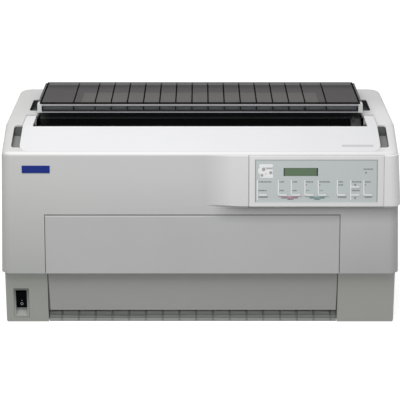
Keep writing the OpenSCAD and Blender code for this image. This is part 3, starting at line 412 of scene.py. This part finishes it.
# tracks on the boards, and on the main board chips, sockets and capacitors by their height
boardPaint = {
    "slant": 0.5, "laneEvery": 3.1, "lane": 0.72, "laneNoise": 45, "laneFrom": 0.5,
    "crossEvery": 4.3, "cross": 0.8, "crossNoise": 38, "crossFrom": 0.52, "trackTone": (0.05, 0.3, 0.12),
    "parts": [({"z": (15.75, 50)}, (0.015, 0.015, 0.016)),  # chips
              ({"z": (15.75, 50), "v": (268, None)}, (0.7, 0.67, 0.58)),  # sockets
              ({"z": (16.5, 50), "x": (215, None)}, (0.02, 0.04, 0.14)),  # capacitors
              ({"z": (39.6, 50), "x": (215, None)}, 0.5)],  # their lids
}


def boardTones(graph, spot, colour):
    paint = boardPaint
    y = spot.v - halfDepth
    lane = (spot.x + y * paint["slant"]).repeat(paint["laneEvery"]) > paint["lane"]
    cross = y.repeat(paint["crossEvery"]) > paint["cross"]
    laneHere = graph.noise(spot.place, paint["laneNoise"]) > paint["laneFrom"]
    crossHere = graph.noise(spot.place, paint["crossNoise"]) > paint["crossFrom"]
    colour = graph.mix((lane * laneHere).most(cross * crossHere), colour, paint["trackTone"])
    for box, tone in paint["parts"]:
        colour = graph.mix(spot.inBox(**box), colour, tone)
    return colour


# the power supply's capacitors and its wound transformer, inside its steel walls
supplyPaint = {
    "inside": {"x": (-288, -114.5), "v": (172.5, 318), "z": (10.2, 50.8)}, "back": 235,
    "canTone": (0.015, 0.02, 0.05), "wireEvery": 2.2, "wire": 0.3, "wireTone": (0.3, 0.13, 0.04),
    "gapTone": (0.05, 0.03, 0.02),
}


def supplyTones(graph, spot, colour):
    paint = supplyPaint
    wound = graph.mix(spot.z.repeat(paint["wireEvery"]) > paint["wire"], paint["gapTone"], paint["wireTone"])
    part = graph.mix(spot.v > paint["back"], paint["canTone"], wound)
    return graph.mix(spot.inBox(**paint["inside"]), colour, part)


# the ribbon's weave
ribbonPaint = {"thread": 0.6, "tone": (0.03, 0.03, 0.034)}


def ribbonTones(graph, spot, colour):
    weave = (spot.x.repeat(ribbonPaint["thread"]) > 0.5) * (spot.z.repeat(ribbonPaint["thread"]) > 0.5)
    return graph.mix(weave, colour, ribbonPaint["tone"])


finish("case_plastic", (0.52, 0.52, 0.52), paint=caseTones)
finish("recess_plastic", (0.4, 0.41, 0.39), paint=recessTones)
finish("cover_plastic", (0.56, 0.56, 0.565), paint=coverTones)
finish("lower_plastic", (0.40, 0.415, 0.395), paint=lowerTones)
finish("white_plastic", (0.785, 0.785, 0.80), spread=0.015)
finish("bezel_plastic", (0.84, 0.84, 0.84), spread=0.02, paint=bezelTones)
finish("entry_plastic", (0.74, 0.76, 0.73), paint=entryTones)
finish("overlay_film", (0.6, 0.65, 0.65), spread=0.015, rough=0.42, grain=2600, relief=0.12)
finish("display_glass", (0.15, 0.23, 0.14), rough=0.2, uneven=0.05, relief=0.02, coat=0.1, level=0.2,
       paint=displayTones)
finish("circuit_board", (0.02, 0.13, 0.05), rough=0.4, relief=0.1, paint=boardTones)
finish("blue_plate", (0.016, 0.036, 0.25), rough=0.3, uneven=0.08, relief=0.05, level=0.12)
finish("switch_plastic", (0.003, 0.003, 0.004), rough=0.6, level=0.02)
finish("steel_plate", (0.56, 0.57, 0.58), rough=0.38, uneven=0.2, stretch=(1, 6, 6), metal=1.0, relief=0.1)
finish("supply_steel", (0.5, 0.51, 0.52), rough=0.42, uneven=0.2, metal=0.6, relief=0.1, paint=supplyTones)
finish("frame_steel", (0.05, 0.05, 0.052), uneven=0.2, stretch=(1, 6, 6), metal=0.3, relief=0.1, level=0.2)
finish("steel_bar", (0.3, 0.3, 0.31), rough=0.3, uneven=0.12, stretch=(40, 1, 1), metal=1.0, relief=0.08)
finish("motor_case", (0.05, 0.05, 0.052), rough=0.4, relief=0.2)
finish("black_plastic", (0.01, 0.01, 0.011), level=0.15)
finish("guide_plastic", (0.34, 0.33, 0.31), level=0.2, paint=guideTones)
finish("roll_grey", (0.42, 0.42, 0.42))
finish("black_rubber", (0.016, 0.016, 0.017), rough=0.75, relief=0.4)
finish("ribbon_cloth", (0.012, 0.012, 0.014), rough=0.8, paint=ribbonTones)
finish("dark_plastic", (0.06, 0.062, 0.064))
finish("bracket_plastic", (0.2, 0.2, 0.205))
finish("rail_plastic", (0.45, 0.45, 0.47), rough=0.35, relief=0.1, level=0.12, paint=railTones)
finish("strip_plastic", (0.6, 0.6, 0.61), rough=0.35, relief=0.1)
finish("smoked_plastic", (0.152, 0.146, 0.147), rough=0.25, uneven=0.06, relief=0.03, alpha=0.74, level=0.0,
       paint=smokeTones)
finish("roller_plastic", (0.265, 0.288, 0.315), rough=0.4, stretch=(1, 8, 8))
finish("head_metal", (0.09, 0.09, 0.095), rough=0.35, metal=0.8)
finish("pulley_metal", (0.14, 0.14, 0.145), rough=0.45, metal=1.0)
finish("gear_plastic", (0.68, 0.66, 0.6), rough=0.4)
finish("tractor_plastic", (0.03, 0.06, 0.2), rough=0.42)
finish("lock_plastic", (0.5, 0.3, 0.03), rough=0.42)
finish("key_plastic", (0.86, 0.87, 0.87), rough=0.45)
finish("print_white", (0.95, 0.95, 0.95), relief=0.05)
finish("print_dark", (0.15, 0.165, 0.17), relief=0.05)
finish("print_edge", (0.36, 0.38, 0.41), relief=0.05)
finish("print_red", (0.5, 0.3, 0.35), relief=0.05)
finish("print_teal", (0.27, 0.42, 0.42), relief=0.05)
finish("lamp_lens", (0.24, 0.3, 0.26), rough=0.2, relief=0.02, coat=0.5)


def linked(name, data):
    thing = bpy.data.objects.new(name, data)
    bpy.context.scene.collection.objects.link(thing)
    return thing


def meshOf(work, name):
    mesh = bpy.data.meshes.new(name)
    work.to_mesh(mesh)
    work.free()
    return mesh


# the mesh that an object's modifiers make, in place of the object
def evaluated(holder):
    bpy.context.view_layer.update()
    mesh = bpy.data.meshes.new_from_object(holder.evaluated_get(bpy.context.evaluated_depsgraph_get()))
    bpy.data.objects.remove(holder)
    return mesh


edgeRule = {"samePoint": 0.003, "flat": 0.4, "sharp": 32, "gentle": 35}  # the last three are degrees


# normals of each corner from the faces that meet it gently, the large ones first
def steadyNormals(mesh):
    limit = math.cos(math.radians(edgeRule["gentle"]))
    around = [[] for _ in mesh.vertices]
    for face in mesh.polygons:
        for corner in face.vertices:
            around[corner].append(face.index)
    facing = [face.normal.copy() for face in mesh.polygons]
    size = [face.area for face in mesh.polygons]
    normals = []
    for face in mesh.polygons:
        face.use_smooth = True
        for corner in face.vertices:
            total = Vector()
            for other in around[corner]:
                if facing[other].dot(facing[face.index]) > limit:
                    total += facing[other] * size[other]
            normals.append(total.normalized() if total.length > 0 else facing[face.index])
    mesh.normals_split_custom_set(normals)


def placed(name, mesh, body, slot, *replaced):
    piece = linked(name, mesh)
    mesh.materials.clear()
    mesh.materials.append(finishes[slot])
    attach(piece, body)
    if replaced:
        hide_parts(*replaced)
    return piece


def worked(mesh, width, steps):
    holder = linked("holder", mesh)
    if width:
        bevel = holder.modifiers.new("edge", "BEVEL")
        bevel.width = width / 1000
        bevel.segments = steps
        bevel.limit_method = "ANGLE"
        bevel.angle_limit = math.radians(edgeRule["sharp"])
        bevel.miter_outer = "MITER_ARC"
        bevel.loop_slide = False
    done = evaluated(holder)
    steadyNormals(done)
    return done


def tidyMesh(work, name, joined):
    bmesh.ops.remove_doubles(work, verts=work.verts, dist=edgeRule["samePoint"] / 1000)
    if joined:
        bmesh.ops.dissolve_limit(work, angle_limit=math.radians(edgeRule["flat"]), verts=work.verts,
                                 edges=work.edges)
        bmesh.ops.triangulate(work, faces=[face for face in work.faces if len(face.verts) > 4],
                              quad_method="BEAUTY", ngon_method="BEAUTY")
    return meshOf(work, name)


# a moulding: the solid's own form with its edges broken
def moulding(node, slot, width, steps):
    work = bmesh.new()
    work.from_mesh(nodes[node].data)
    mesh = worked(tidyMesh(work, node, width > 0), width, steps)
    return placed(node + "_moulding", mesh, bodyOf[node], slot, node)


print("rounding the mouldings")
# finish, width of the broken edge and its steps
mouldings = {
    "upper_case": ("case_plastic", 0.5, 2), "base_tray": ("lower_plastic", 0.8, 2),
    "top_cover": ("white_plastic", 1.2, 3), "front_cover": ("cover_plastic", 0.9, 3),
    "rear_cover": ("case_plastic", 0.6, 2), "panel_bezel": ("bezel_plastic", 0.7, 3),
    "panel_overlay": ("overlay_film", 0, 1), "display_window": ("display_glass", 0.3, 2),
    "nameplate": ("blue_plate", 0.5, 2), "entry_guide": ("entry_plastic", 0.3, 2),
    "switch_bezel": ("recess_plastic", 0.6, 3), "power_rocker": ("switch_plastic", 0.8, 3),
    "side_frame_left": ("frame_steel", 0.3, 1), "side_frame_right": ("frame_steel", 0.3, 1),
    "cross_rods": ("steel_bar", 0.6, 2), "guide_rods": ("steel_bar", 0.6, 2),
    "carriage_motor": ("motor_case", 1.0, 2), "feed_motor": ("motor_case", 1.0, 2),
    "lower_guide": ("dark_plastic", 0.4, 1), "exit_guide": ("guide_plastic", 0.4, 2),
    "power_supply": ("supply_steel", 0.4, 1), "fan_frame": ("black_plastic", 0.8, 2),
    "power_inlet": ("black_plastic", 0.4, 2), "interface_ports": ("steel_plate", 0.3, 2),
    "feet": ("black_rubber", 0.8, 3), "screws": ("steel_bar", 0.3, 2),
    "ribbon_cartridge": ("black_plastic", 0.8, 2), "hinge_brackets": ("steel_plate", 0.3, 1),
    "tension_frame": ("rail_plastic", 0.6, 2), "tension_roller": ("roller_plastic", 0.6, 2),
    "carriage": ("dark_plastic", 0.6, 2), "print_head": ("head_metal", 0.5, 2),
    "motor_pulley": ("pulley_metal", 0.4, 2), "idler_pulley": ("pulley_metal", 0.4, 2),
    "platen": ("black_rubber", 0.6, 2), "platen_gear": ("gear_plastic", 0.0, 1),
    "feed_pinion": ("gear_plastic", 0.0, 1), "idler_gear": ("gear_plastic", 0.0, 1),
    "tractor_shaft": ("steel_bar", 0.3, 1), "tractor_left": ("tractor_plastic", 0.5, 2),
    "tractor_right": ("tractor_plastic", 0.5, 2), "tractor_gate_left": ("tractor_plastic", 0.4, 2),
    "tractor_gate_right": ("tractor_plastic", 0.4, 2), "tractor_lock_left": ("lock_plastic", 0.4, 2),
    "tractor_lock_right": ("lock_plastic", 0.4, 2), "fan_rotor": ("black_plastic", 0.4, 2),
    "ribbon": ("ribbon_cloth", 0.0, 1), "panel_board": ("circuit_board", 0.0, 1),
    "main_board": ("circuit_board", 0.0, 1),
}
for key in range(1, 10):
    mouldings[f"key_{key}"] = ("key_plastic", 0.35, 2)
for node, (slot, width, steps) in mouldings.items():
    moulding(node, slot, width, steps)


# a flat form with straight walls, from its outline in the two directions of a frame
def slab(work, outline, low, high, frameMatrix):
    bottom = [work.verts.new(frameMatrix @ Vector((x / 1000, y / 1000, low / 1000))) for x, y in outline]
    top = [work.verts.new(frameMatrix @ Vector((x / 1000, y / 1000, high / 1000))) for x, y in outline]
    work.faces.new(list(reversed(bottom)))
    work.faces.new(top)
    for place in range(len(outline)):
        after = (place + 1) % len(outline)
        work.faces.new([bottom[place], bottom[after], top[after], top[place]])


# one mesh of slabs, each an outline with its low and high
def slabMesh(name, slabs, frameMatrix):
    work = bmesh.new()
    for outline, low, high in slabs:
        slab(work, outline, low, high, frameMatrix)
    bmesh.ops.recalc_face_normals(work, faces=work.faces)
    return meshOf(work, name)


def block(x0, x1, y0, y1):
    return [(x0, y0), (x1, y0), (x1, y1), (x0, y1)]


def disc(x, y, radius, steps=20):
    return [(x + radius * math.cos(math.tau * i / steps), y + radius * math.sin(math.tau * i / steps))
            for i in range(steps)]


def roundBlock(x0, x1, y0, y1, radius, steps=5):
    outline = []
    for cx, cy, start in ((x1 - radius, y1 - radius, 0), (x0 + radius, y1 - radius, 90),
                          (x0 + radius, y0 + radius, 180), (x1 - radius, y0 + radius, 270)):
        for i in range(steps + 1):
            turn = math.radians(start + 90 * i / steps)
            outline.append((cx + radius * math.cos(turn), cy + radius * math.sin(turn)))
    return outline


def shifted(x, y, z):
    return Matrix.Translation((x / 1000, y / 1000, z / 1000))


def leaned(degrees):
    return Matrix.Rotation(math.radians(degrees), 4, "X")


print("printing the control panel")
panel = {
    "middle": (203.2, at(13.38), 265), "slant": 11.64, "face": -1.17, "ink": 0.07, "overInk": 0.05,
    "lines": [100.3, 136.9, 159.6, 183.2, 206.7, 239.9, 263.4, 286.1], "longLines": (0, 6),
    "lineTop": 2.2, "lineFoot": -23.5, "longFoot": -33, "lineWidth": 1.7,
    "topMarks": [23, 8, 9, 12.5, 18.5, 9.5, 17, 11.5], "topMarkAt": -0.9,
    "subMarks": {3: 2.2, 4: 2.2, 5: 8.5, 7: 2.2}, "subMarkAt": -6.2,
    "midMarks": {0: 15.5, 1: 9, 2: 9, 6: 15}, "tealMarks": {3: 7, 4: 7}, "midMarkAt": -16.1,
    "lowMarks": {0: 16, 5: 15, 7: 13}, "lowMarkAt": -27.8,
    "markHeight": 2.2, "letter": (1.45, 2.1), "shortLetter": 0.45, "indent": 1.9,
    "arrowX": 271.2, "arrowAt": (-6.2, -29.4), "arrow": (2.4, 1, 2),
    "lampMark": (82.3, 100, 21.4), "lamp": (86.6, 15, 1.4), "lampSeat": (-1.9, 0.9),
    "edge": (-106.9, 106.9, -39.1, 39.1, 1.4),
    "redPair": (137, 179.5), "tealPair": (184, 226), "pairFoot": -27.6,
    "pairSteps": [(-14, 12, 2.4), (-5.5, 5.5, 4.6)],
    "pairWords": [(142, 152, -29, 1), (163, 172, -29, 0), (153.5, 162.5, -31.3, 2),
                  (192, 201, -29, 1), (210, 219, -29, 0), (200.5, 209.5, -31.3, 2)],
    "sheets": [(103, 127.5, 24.5, 30, 2.6), (101.5, 116, 12, 24.5, 5), (116, 127, 12, 21, 0),
               (104.5, 127.5, 6, 12, 1.2)],
    "rolls": [(111, 21, 3.2), (108, 10.5, 2.6), (123.5, 15, 2.8)], "rollBar": (116, 126, 21.4, 22.6),
}
onPanel = shifted(*panel["middle"]) @ leaned(90 - panel["slant"])


# a place across the printer, from the panel's middle
def across(x):
    return x - panel["middle"][0]


def inked(name, slot, outlines, matrix, low, thick, body="chassis"):
    mesh = slabMesh(name, [(outline, low, low + thick) for outline in outlines], matrix)
    steadyNormals(mesh)
    placed(name, mesh, body, slot)


# a word that can't be read: upright dashes of uneven height
def letters(start, end, height, seed):
    wide, period = panel["letter"]
    half = panel["markHeight"] / 2
    marks = []
    for i in range(int((end - start) / period + 0.4)):
        left = start + i * period
        high = half * (panel["shortLetter"] if (i * 7 + seed) % 3 == 1 else 1)
        marks.append(block(left, left + wide, height - half, height + high))
    return marks


# bracket that joins two keys: a thin bar that steps down to the middle
def bracket(start, end):
    left, right, foot = across(start), across(end), panel["pairFoot"]
    middle, top = (left + right) / 2, foot
    bars = [block(left, right, foot, foot + 1)]
    for before, after, drop in panel["pairSteps"]:
        bars.append(block(middle + before, middle + after, foot - drop, top))
        top = foot - drop
    return bars


white, dark, teal = [], [], []
for column, x in enumerate(panel["lines"]):
    left = across(x)
    foot = panel["longFoot"] if column in panel["longLines"] else panel["lineFoot"]
    white.append(block(left - panel["lineWidth"] / 2, left + panel["lineWidth"] / 2, foot, panel["lineTop"]))
    start = left + panel["indent"]
    for store, marks, height in ((dark, dict(enumerate(panel["topMarks"])), panel["topMarkAt"]),
                                 (dark, panel["subMarks"], panel["subMarkAt"]),
                                 (dark, panel["midMarks"], panel["midMarkAt"]),
                                 (teal, panel["tealMarks"], panel["midMarkAt"]),
                                 (dark, panel["lowMarks"], panel["lowMarkAt"])):
        if column in marks:
            store += letters(start, start + marks[column], height, column + len(store))
arrow = across(panel["arrowX"])
arrowHalf, arrowFoot, arrowTip = panel["arrow"]
for height, way in zip(panel["arrowAt"], (1, -1)):
    tip = [(arrow - arrowHalf, height - way * arrowFoot), (arrow + arrowHalf, height - way * arrowFoot),
           (arrow, height + way * arrowTip)]
    dark.append(tip if way > 0 else tip[::-1])
start, end, height = panel["lampMark"]
dark += letters(start, end, height, 2)
red = bracket(*panel["redPair"])
teal += bracket(*panel["tealPair"])
words = []
for start, end, height, seed in panel["pairWords"]:
    words += letters(across(start), across(end), height, seed)
left, right, low, high, width = panel["edge"]
edge = [block(left, right, low, low + width), block(left, right, high - width, high),
        block(left, left + width, low + width, high - width),
        block(right - width, right, low + width, high - width)]
# generic picture of a paper path: a sheet between rolls
for x0, x1, y0, y1, radius in panel["sheets"]:
    corners = (across(x0), across(x1), y0, y1)
    white.append(roundBlock(*corners, radius) if radius else block(*corners))
rolls = [disc(across(x), y, radius) for x, y, radius in panel["rolls"]]
x0, x1, y0, y1 = panel["rollBar"]
rolls.append(block(across(x0), across(x1), y0, y1))
face, ink, thin = panel["face"], panel["ink"], panel["overInk"]
for name, slot, outlines, low, thick in (
        ("white", "print_white", white, face, ink), ("dark", "print_dark", dark, face, ink),
        ("edge", "print_edge", edge, face, thin), ("words", "print_dark", words, face + ink, thin),
        ("rolls", "roll_grey", rolls, face + ink, thin), ("teal", "print_teal", teal, face, ink),
        ("red", "print_red", red, face, ink)):
    inked("panel_print_" + name, slot, outlines, onPanel, low, thick)
inked("status_lamp", "lamp_lens", [disc(*panel["lamp"])], onPanel, *panel["lampSeat"])


print("fitting the switch marks and the plain strip")
rocker = {"axle": (-319.8, at(27), 41.6), "rest": 6, "face": -6, "slant": 7.4, "ring": 2.6, "ringWidth": 0.9,
          "ringAt": -8.4, "dot": 0.8, "dotAt": -2.2, "low": -0.03, "thick": 0.1}
lowerFace = (shifted(*rocker["axle"]) @ leaned(rocker["rest"]) @ shifted(0, rocker["face"], 0)
             @ leaned(90 - rocker["slant"]))


def ringPieces(x, y, radius, width, steps=24):
    pieces = []
    for i in range(steps):
        a, b = math.tau * i / steps, math.tau * (i + 1) / steps
        pieces.append([(x + r * math.cos(t), y + r * math.sin(t))
                       for r, t in ((radius - width, a), (radius, a), (radius, b), (radius - width, b))])
    return pieces


rockerMarks = ringPieces(0, rocker["ringAt"], rocker["ring"], rocker["ringWidth"])
rockerMarks.append(disc(0, rocker["dotAt"], rocker["dot"]))
inked("rocker_marks", "roll_grey", rockerMarks, lowerFace, rocker["low"], rocker["thick"], "power_rocker")

strip = {"x": (249, 305), "v": (46.5, 53), "corner": 1.5, "low": -0.3, "thick": 0.5,
         "lidFront": 33, "slopeBack": 112, "rim": 314, "deck": 341}
rise = (strip["deck"] - strip["rim"]) / (strip["slopeBack"] - strip["lidFront"])
lidSlope = shifted(0, at(strip["lidFront"]), strip["rim"]) @ leaned(math.degrees(math.atan(rise)))
upSlope = [v - strip["lidFront"] for v in strip["v"]]
inked("lid_strip", "strip_plastic", [roundBlock(*strip["x"], *upSlope, strip["corner"])], lidSlope,
      strip["low"], strip["thick"], "top_cover")


print("closing the ends of the paper guide and the edge of the rear opening")
acrossX = Matrix(((0, 0, 1, 0), (1, 0, 0, 0), (0, 1, 0, 0), (0, 0, 0, 1)))  # outline in depth and height
wing = {"line": [(212, 300), (232, 320), (250, 330)], "thick": 2, "left": (-305, -222.1), "right": (240.1, 305),
        "edge": 0.4, "rib": 1.6, "ribEvery": 16, "ribHigh": 1.4, "ribRoot": 0.5, "ribClear": 6}
guideBracket = {"x": (281, 300), "arm": [(213.5, 303.6), (229, 319), (226.8, 321), (211.5, 305.6)],
                "web": [(222, 313), (229, 319), (226, 325), (221, 321)], "webAt": (3, 6), "edge": 0.4}
lip = {"side": (282, 288.5), "v": (377.4, 378.8), "z": (112, 303), "edge": 0.3}


# outlines in depth and height, drawn out along the printer's width
def profiled(name, slot, parts, edge):
    slabs = [([(at(v), z) for v, z in outline], start, end) for outline, start, end in parts]
    placed(name, worked(slabMesh(name, slabs, acrossX), edge, 2), "chassis", slot)


# the same line moved up by two amounts and closed
def band(line, low, high):
    return [(v, z + low) for v, z in line] + [(v, z + high) for v, z in reversed(line)]


for name in ("left", "right"):
    start, end = wing[name]
    parts = [(band(wing["line"], -wing["thick"], 0), start, end)]
    x = start + wing["ribClear"]
    while x < end - wing["ribClear"]:
        parts.append((band(wing["line"], -wing["ribRoot"], wing["ribHigh"]), x, x + wing["rib"]))
        x += wing["ribEvery"]
    profiled("guide_end_" + name, "guide_plastic", parts, wing["edge"])
low, high = guideBracket["x"]
webLow, webHigh = guideBracket["webAt"]
profiled("guide_bracket", "bracket_plastic", [(guideBracket["arm"], low, high),
                                              (guideBracket["web"], low + webLow, low + webHigh)],
         guideBracket["edge"])
inner, outer = lip["side"]
lipOutline = block(*lip["v"], *lip["z"])
profiled("rear_opening_lips", "case_plastic", [(lipOutline, -outer, -inner), (lipOutline, inner, outer)],
         lip["edge"])


# Geometry Nodes: a row of one form, and a toothed belt on a long loop
def newTree(name, inputs):
    tree = bpy.data.node_groups.new(name, "GeometryNodeTree")
    tree.interface.new_socket("Geometry", in_out="OUTPUT", socket_type="NodeSocketGeometry")
    for key, kind in inputs.items():
        tree.interface.new_socket(key, in_out="INPUT", socket_type="NodeSocket" + kind)
    graph = Graph(tree)
    source = graph.add("NodeGroupInput")
    return graph, {key: graph.out(source, key) for key in inputs}


def closeTree(graph, shape, given):
    solid = graph.make("GeometryNodeRealizeInstances", {}, {"Geometry": shape})
    dressed = graph.make("GeometryNodeSetMaterial", {}, {"Geometry": solid, "Material": given["Finish"]})
    graph.add("NodeGroupOutput", {}, {"Geometry": dressed})
    return graph.tree


def rowTree():
    graph, given = newTree("row of forms", {"Form": "Object", "Count": "Int", "Start": "Vector",
                                            "Step": "Vector", "Finish": "Material"})
    line = graph.make("GeometryNodeMeshLine", {"mode": "OFFSET"},
                      {"Count": given["Count"], "Start Location": given["Start"], "Offset": given["Step"]})
    form = graph.make("GeometryNodeObjectInfo", {}, {"Object": given["Form"]}, "Geometry")
    many = graph.make("GeometryNodeInstanceOnPoints", {}, {"Points": line, "Instance": form})
    return closeTree(graph, many, given)


loopRule = {"facets": 16, "bend": 0.9999}  # a corner's share of the radius, just short of a full half turn


def beltTree():
    graph, given = newTree("belt on a loop", {"Length": "Float", "Radius": "Float", "Width": "Float",
                                              "Band": "Float", "Pitch": "Float", "Tooth": "Vector",
                                              "Finish": "Material"})
    outline = graph.make("GeometryNodeCurvePrimitiveQuadrilateral", {"mode": "RECTANGLE"},
                         {"Width": given["Length"] + given["Radius"] * 2, "Height": given["Radius"] * 2})
    loop = graph.make("GeometryNodeFilletCurve", {"mode": "POLY"}, {
        "Curve": outline, "Count": loopRule["facets"], "Radius": given["Radius"] * loopRule["bend"]})
    profile = graph.make("GeometryNodeCurvePrimitiveQuadrilateral", {"mode": "RECTANGLE"},
                         {"Width": given["Width"], "Height": given["Band"]})
    turned = graph.make("GeometryNodeTransform", {}, {"Geometry": profile, "Rotation": (0, 0, math.pi / 2)})
    belt = graph.make("GeometryNodeCurveToMesh", {}, {
        "Curve": loop, "Profile Curve": turned, "Fill Caps": False})
    spots = graph.add("GeometryNodeCurveToPoints", {"mode": "LENGTH"}, {
        "Curve": loop, "Length": given["Pitch"]})
    tooth = graph.make("GeometryNodeMeshCube", {}, {"Size": given["Tooth"]})
    many = graph.make("GeometryNodeInstanceOnPoints", {}, {
        "Points": graph.out(spots, "Points"), "Instance": tooth, "Rotation": graph.out(spots, "Rotation")})
    both = graph.add("GeometryNodeJoinGeometry")
    for part in (belt, many):
        graph.tree.links.new(part.socket, both.inputs[0])
    return closeTree(graph, graph.out(both), given)


def grown(name, tree, sizes, body, slot, matrix=None, replaced=()):
    holder = linked(name, bpy.data.meshes.new(name))
    grow = holder.modifiers.new("grow", "NODES")
    grow.node_group = tree
    sizes = dict(sizes, Finish=finishes[slot])
    for item in tree.interface.items_tree:
        if item.in_out == "INPUT":
            grow[item.identifier] = sizes[item.name]
    mesh = evaluated(holder)
    if matrix:
        mesh.transform(matrix)
    steadyNormals(mesh)
    placed(name, mesh, body, slot, *replaced)


print("hanging the ribs under the smoked window")
window = {"x": 293.5, "v": (180, 343), "z": (361, 363), "corner": 3, "edge": 0.6,
          "ribs": 14, "pitch": 29.6, "endRib": 231.5, "rib": 1.2,
          "ribFront": 182.3, "ribTop": 362, "ribFoot": 349.5, "margin": 0.1,
          "ribTail": [(202, 349.9), (225, 354), (336, 356), (336, 362)],
          "rollerV": 192, "rollerZ": 352, "hollow": 8.2,
          "hollowFrom": 198, "hollowTurn": 216, "hollowSteps": 12}  # the hollow's turn in degrees


# a rib stands round the roller and runs back under the sheet
def ribOutline():
    front, foot = window["ribFront"], window["ribFoot"]
    line = [(front, window["ribTop"]), (front, foot)]
    for step in range(window["hollowSteps"] + 1):
        turn = math.radians(window["hollowFrom"] - window["hollowTurn"] * step / window["hollowSteps"])
        v = window["rollerV"] + window["hollow"] * math.cos(turn)
        z = window["rollerZ"] + window["hollow"] * math.sin(turn)
        if v > front + window["margin"] and z > foot - window["margin"]:
            line.append((v, z))
    return [(at(v), z) for v, z in line + window["ribTail"]]


sheetOutline = roundBlock(-window["x"], window["x"], *[at(v) for v in window["v"]], window["corner"])
sheetMesh = slabMesh("smoked_sheet", [(sheetOutline, *window["z"])], Matrix.Identity(4))
placed("smoked_sheet", worked(sheetMesh, window["edge"], 2), "tension_unit", "smoked_plastic", "smoked_window")
rib = linked("rib_form", slabMesh("rib_form", [(ribOutline(), 0, window["rib"])], acrossX))
rows = rowTree()
half = window["rib"] / 2
for name, count, pitch in (("smoked_ribs", window["ribs"], window["pitch"]),
                           ("smoked_end_ribs", 2, window["endRib"] * 2)):
    first = -pitch * (count - 1) / 2 - half
    row = {"Form": rib, "Count": count, "Start": (first / 1000, 0, 0), "Step": (pitch / 1000, 0, 0)}
    grown(name, rows, row, "tension_unit", "black_plastic")
bpy.data.objects.remove(rib)

print("threading the belt")
driveBelt = {"place": (0, at(120), 228.5), "Length": 544, "Radius": 15.9, "Width": 7, "Band": 1, "Pitch": 2.03,
             "Tooth": (0.7, 6.4, 1)}
beltSizes = {key: tuple(part / 1000 for part in size) if isinstance(size, tuple) else size / 1000
             for key, size in driveBelt.items()}
grown("toothed_belt", beltTree(), beltSizes, "chassis", "black_rubber", Matrix.Translation(beltSizes["place"]),
      ("drive_belt",))


print("setting the studio")
studio = {"floorSize": 7, "floorTone": 0.92, "floorBounce": 0.3, "glow": 0.6, "sky": 0.55,
          "keyPower": 8.5, "keyPlace": (-0.2, -0.72, 1.25), "keySize": 0.9, "keyAim": (0, 0, 0.2)}  # in metres


# 1 for the rays that show the studio, 0 for those that only light the printer
def seenRays(graph):
    path = graph.add("ShaderNodeLightPath")
    camera, glossy, through = [graph.out(path, f"Is {ray} Ray") for ray in ("Camera", "Glossy", "Transmission")]
    return camera.most(glossy).most(through)


work = bmesh.new()
bmesh.ops.create_grid(work, x_segments=1, y_segments=1, size=studio["floorSize"])
floor = linked("studio_floor", meshOf(work, "studio_floor"))
paper = bpy.data.materials.new("studio_paper")
paper.use_nodes = True
graph = Graph(paper.node_tree)
seen = seenRays(graph)
tone = graph.mix(seen, studio["floorBounce"], studio["floorTone"])
matt = graph.make("ShaderNodeBsdfDiffuse", {}, {"Color": tone})
glow = graph.make("ShaderNodeEmission", {}, {"Strength": seen * studio["glow"]})
lit = graph.make("ShaderNodeAddShader", {}, {0: matt, 1: glow})
graph.add("ShaderNodeOutputMaterial", {}, {"Surface": lit})
floor.data.materials.append(paper)

world = bpy.data.worlds.new("studio")
bpy.context.scene.world = world
world.use_nodes = True
graph = Graph(world.node_tree)
seen = seenRays(graph)
strength = seen + (1 - seen) * studio["sky"]
sky = graph.make("ShaderNodeBackground", {}, {"Color": opaque(1), "Strength": strength})
graph.add("ShaderNodeOutputWorld", {}, {"Surface": sky})

softbox = bpy.data.lights.new("key_softbox", "AREA")
softbox.size = studio["keySize"]
softbox.energy = studio["keyPower"]
lamp = linked("key_softbox", softbox)
lamp.location = studio["keyPlace"]
lamp.rotation_euler = (Vector(studio["keyAim"]) - lamp.location).to_track_quat("-Z", "Y").to_euler()

view = {"place": (0, -2.748, 1.066), "pitch": 72, "lens": 138.8, "sensor": 36}  # the place in metres
cameraData = bpy.data.cameras.new("front_camera")
cameraData.lens = view["lens"]
cameraData.sensor_width = view["sensor"]
camera = linked("front_camera", cameraData)
camera.location = view["place"]
camera.rotation_euler = (math.radians(view["pitch"]), 0, 0)
bpy.context.scene.camera = camera
bpy.context.scene.view_settings.view_transform = "Standard"

print("closing")
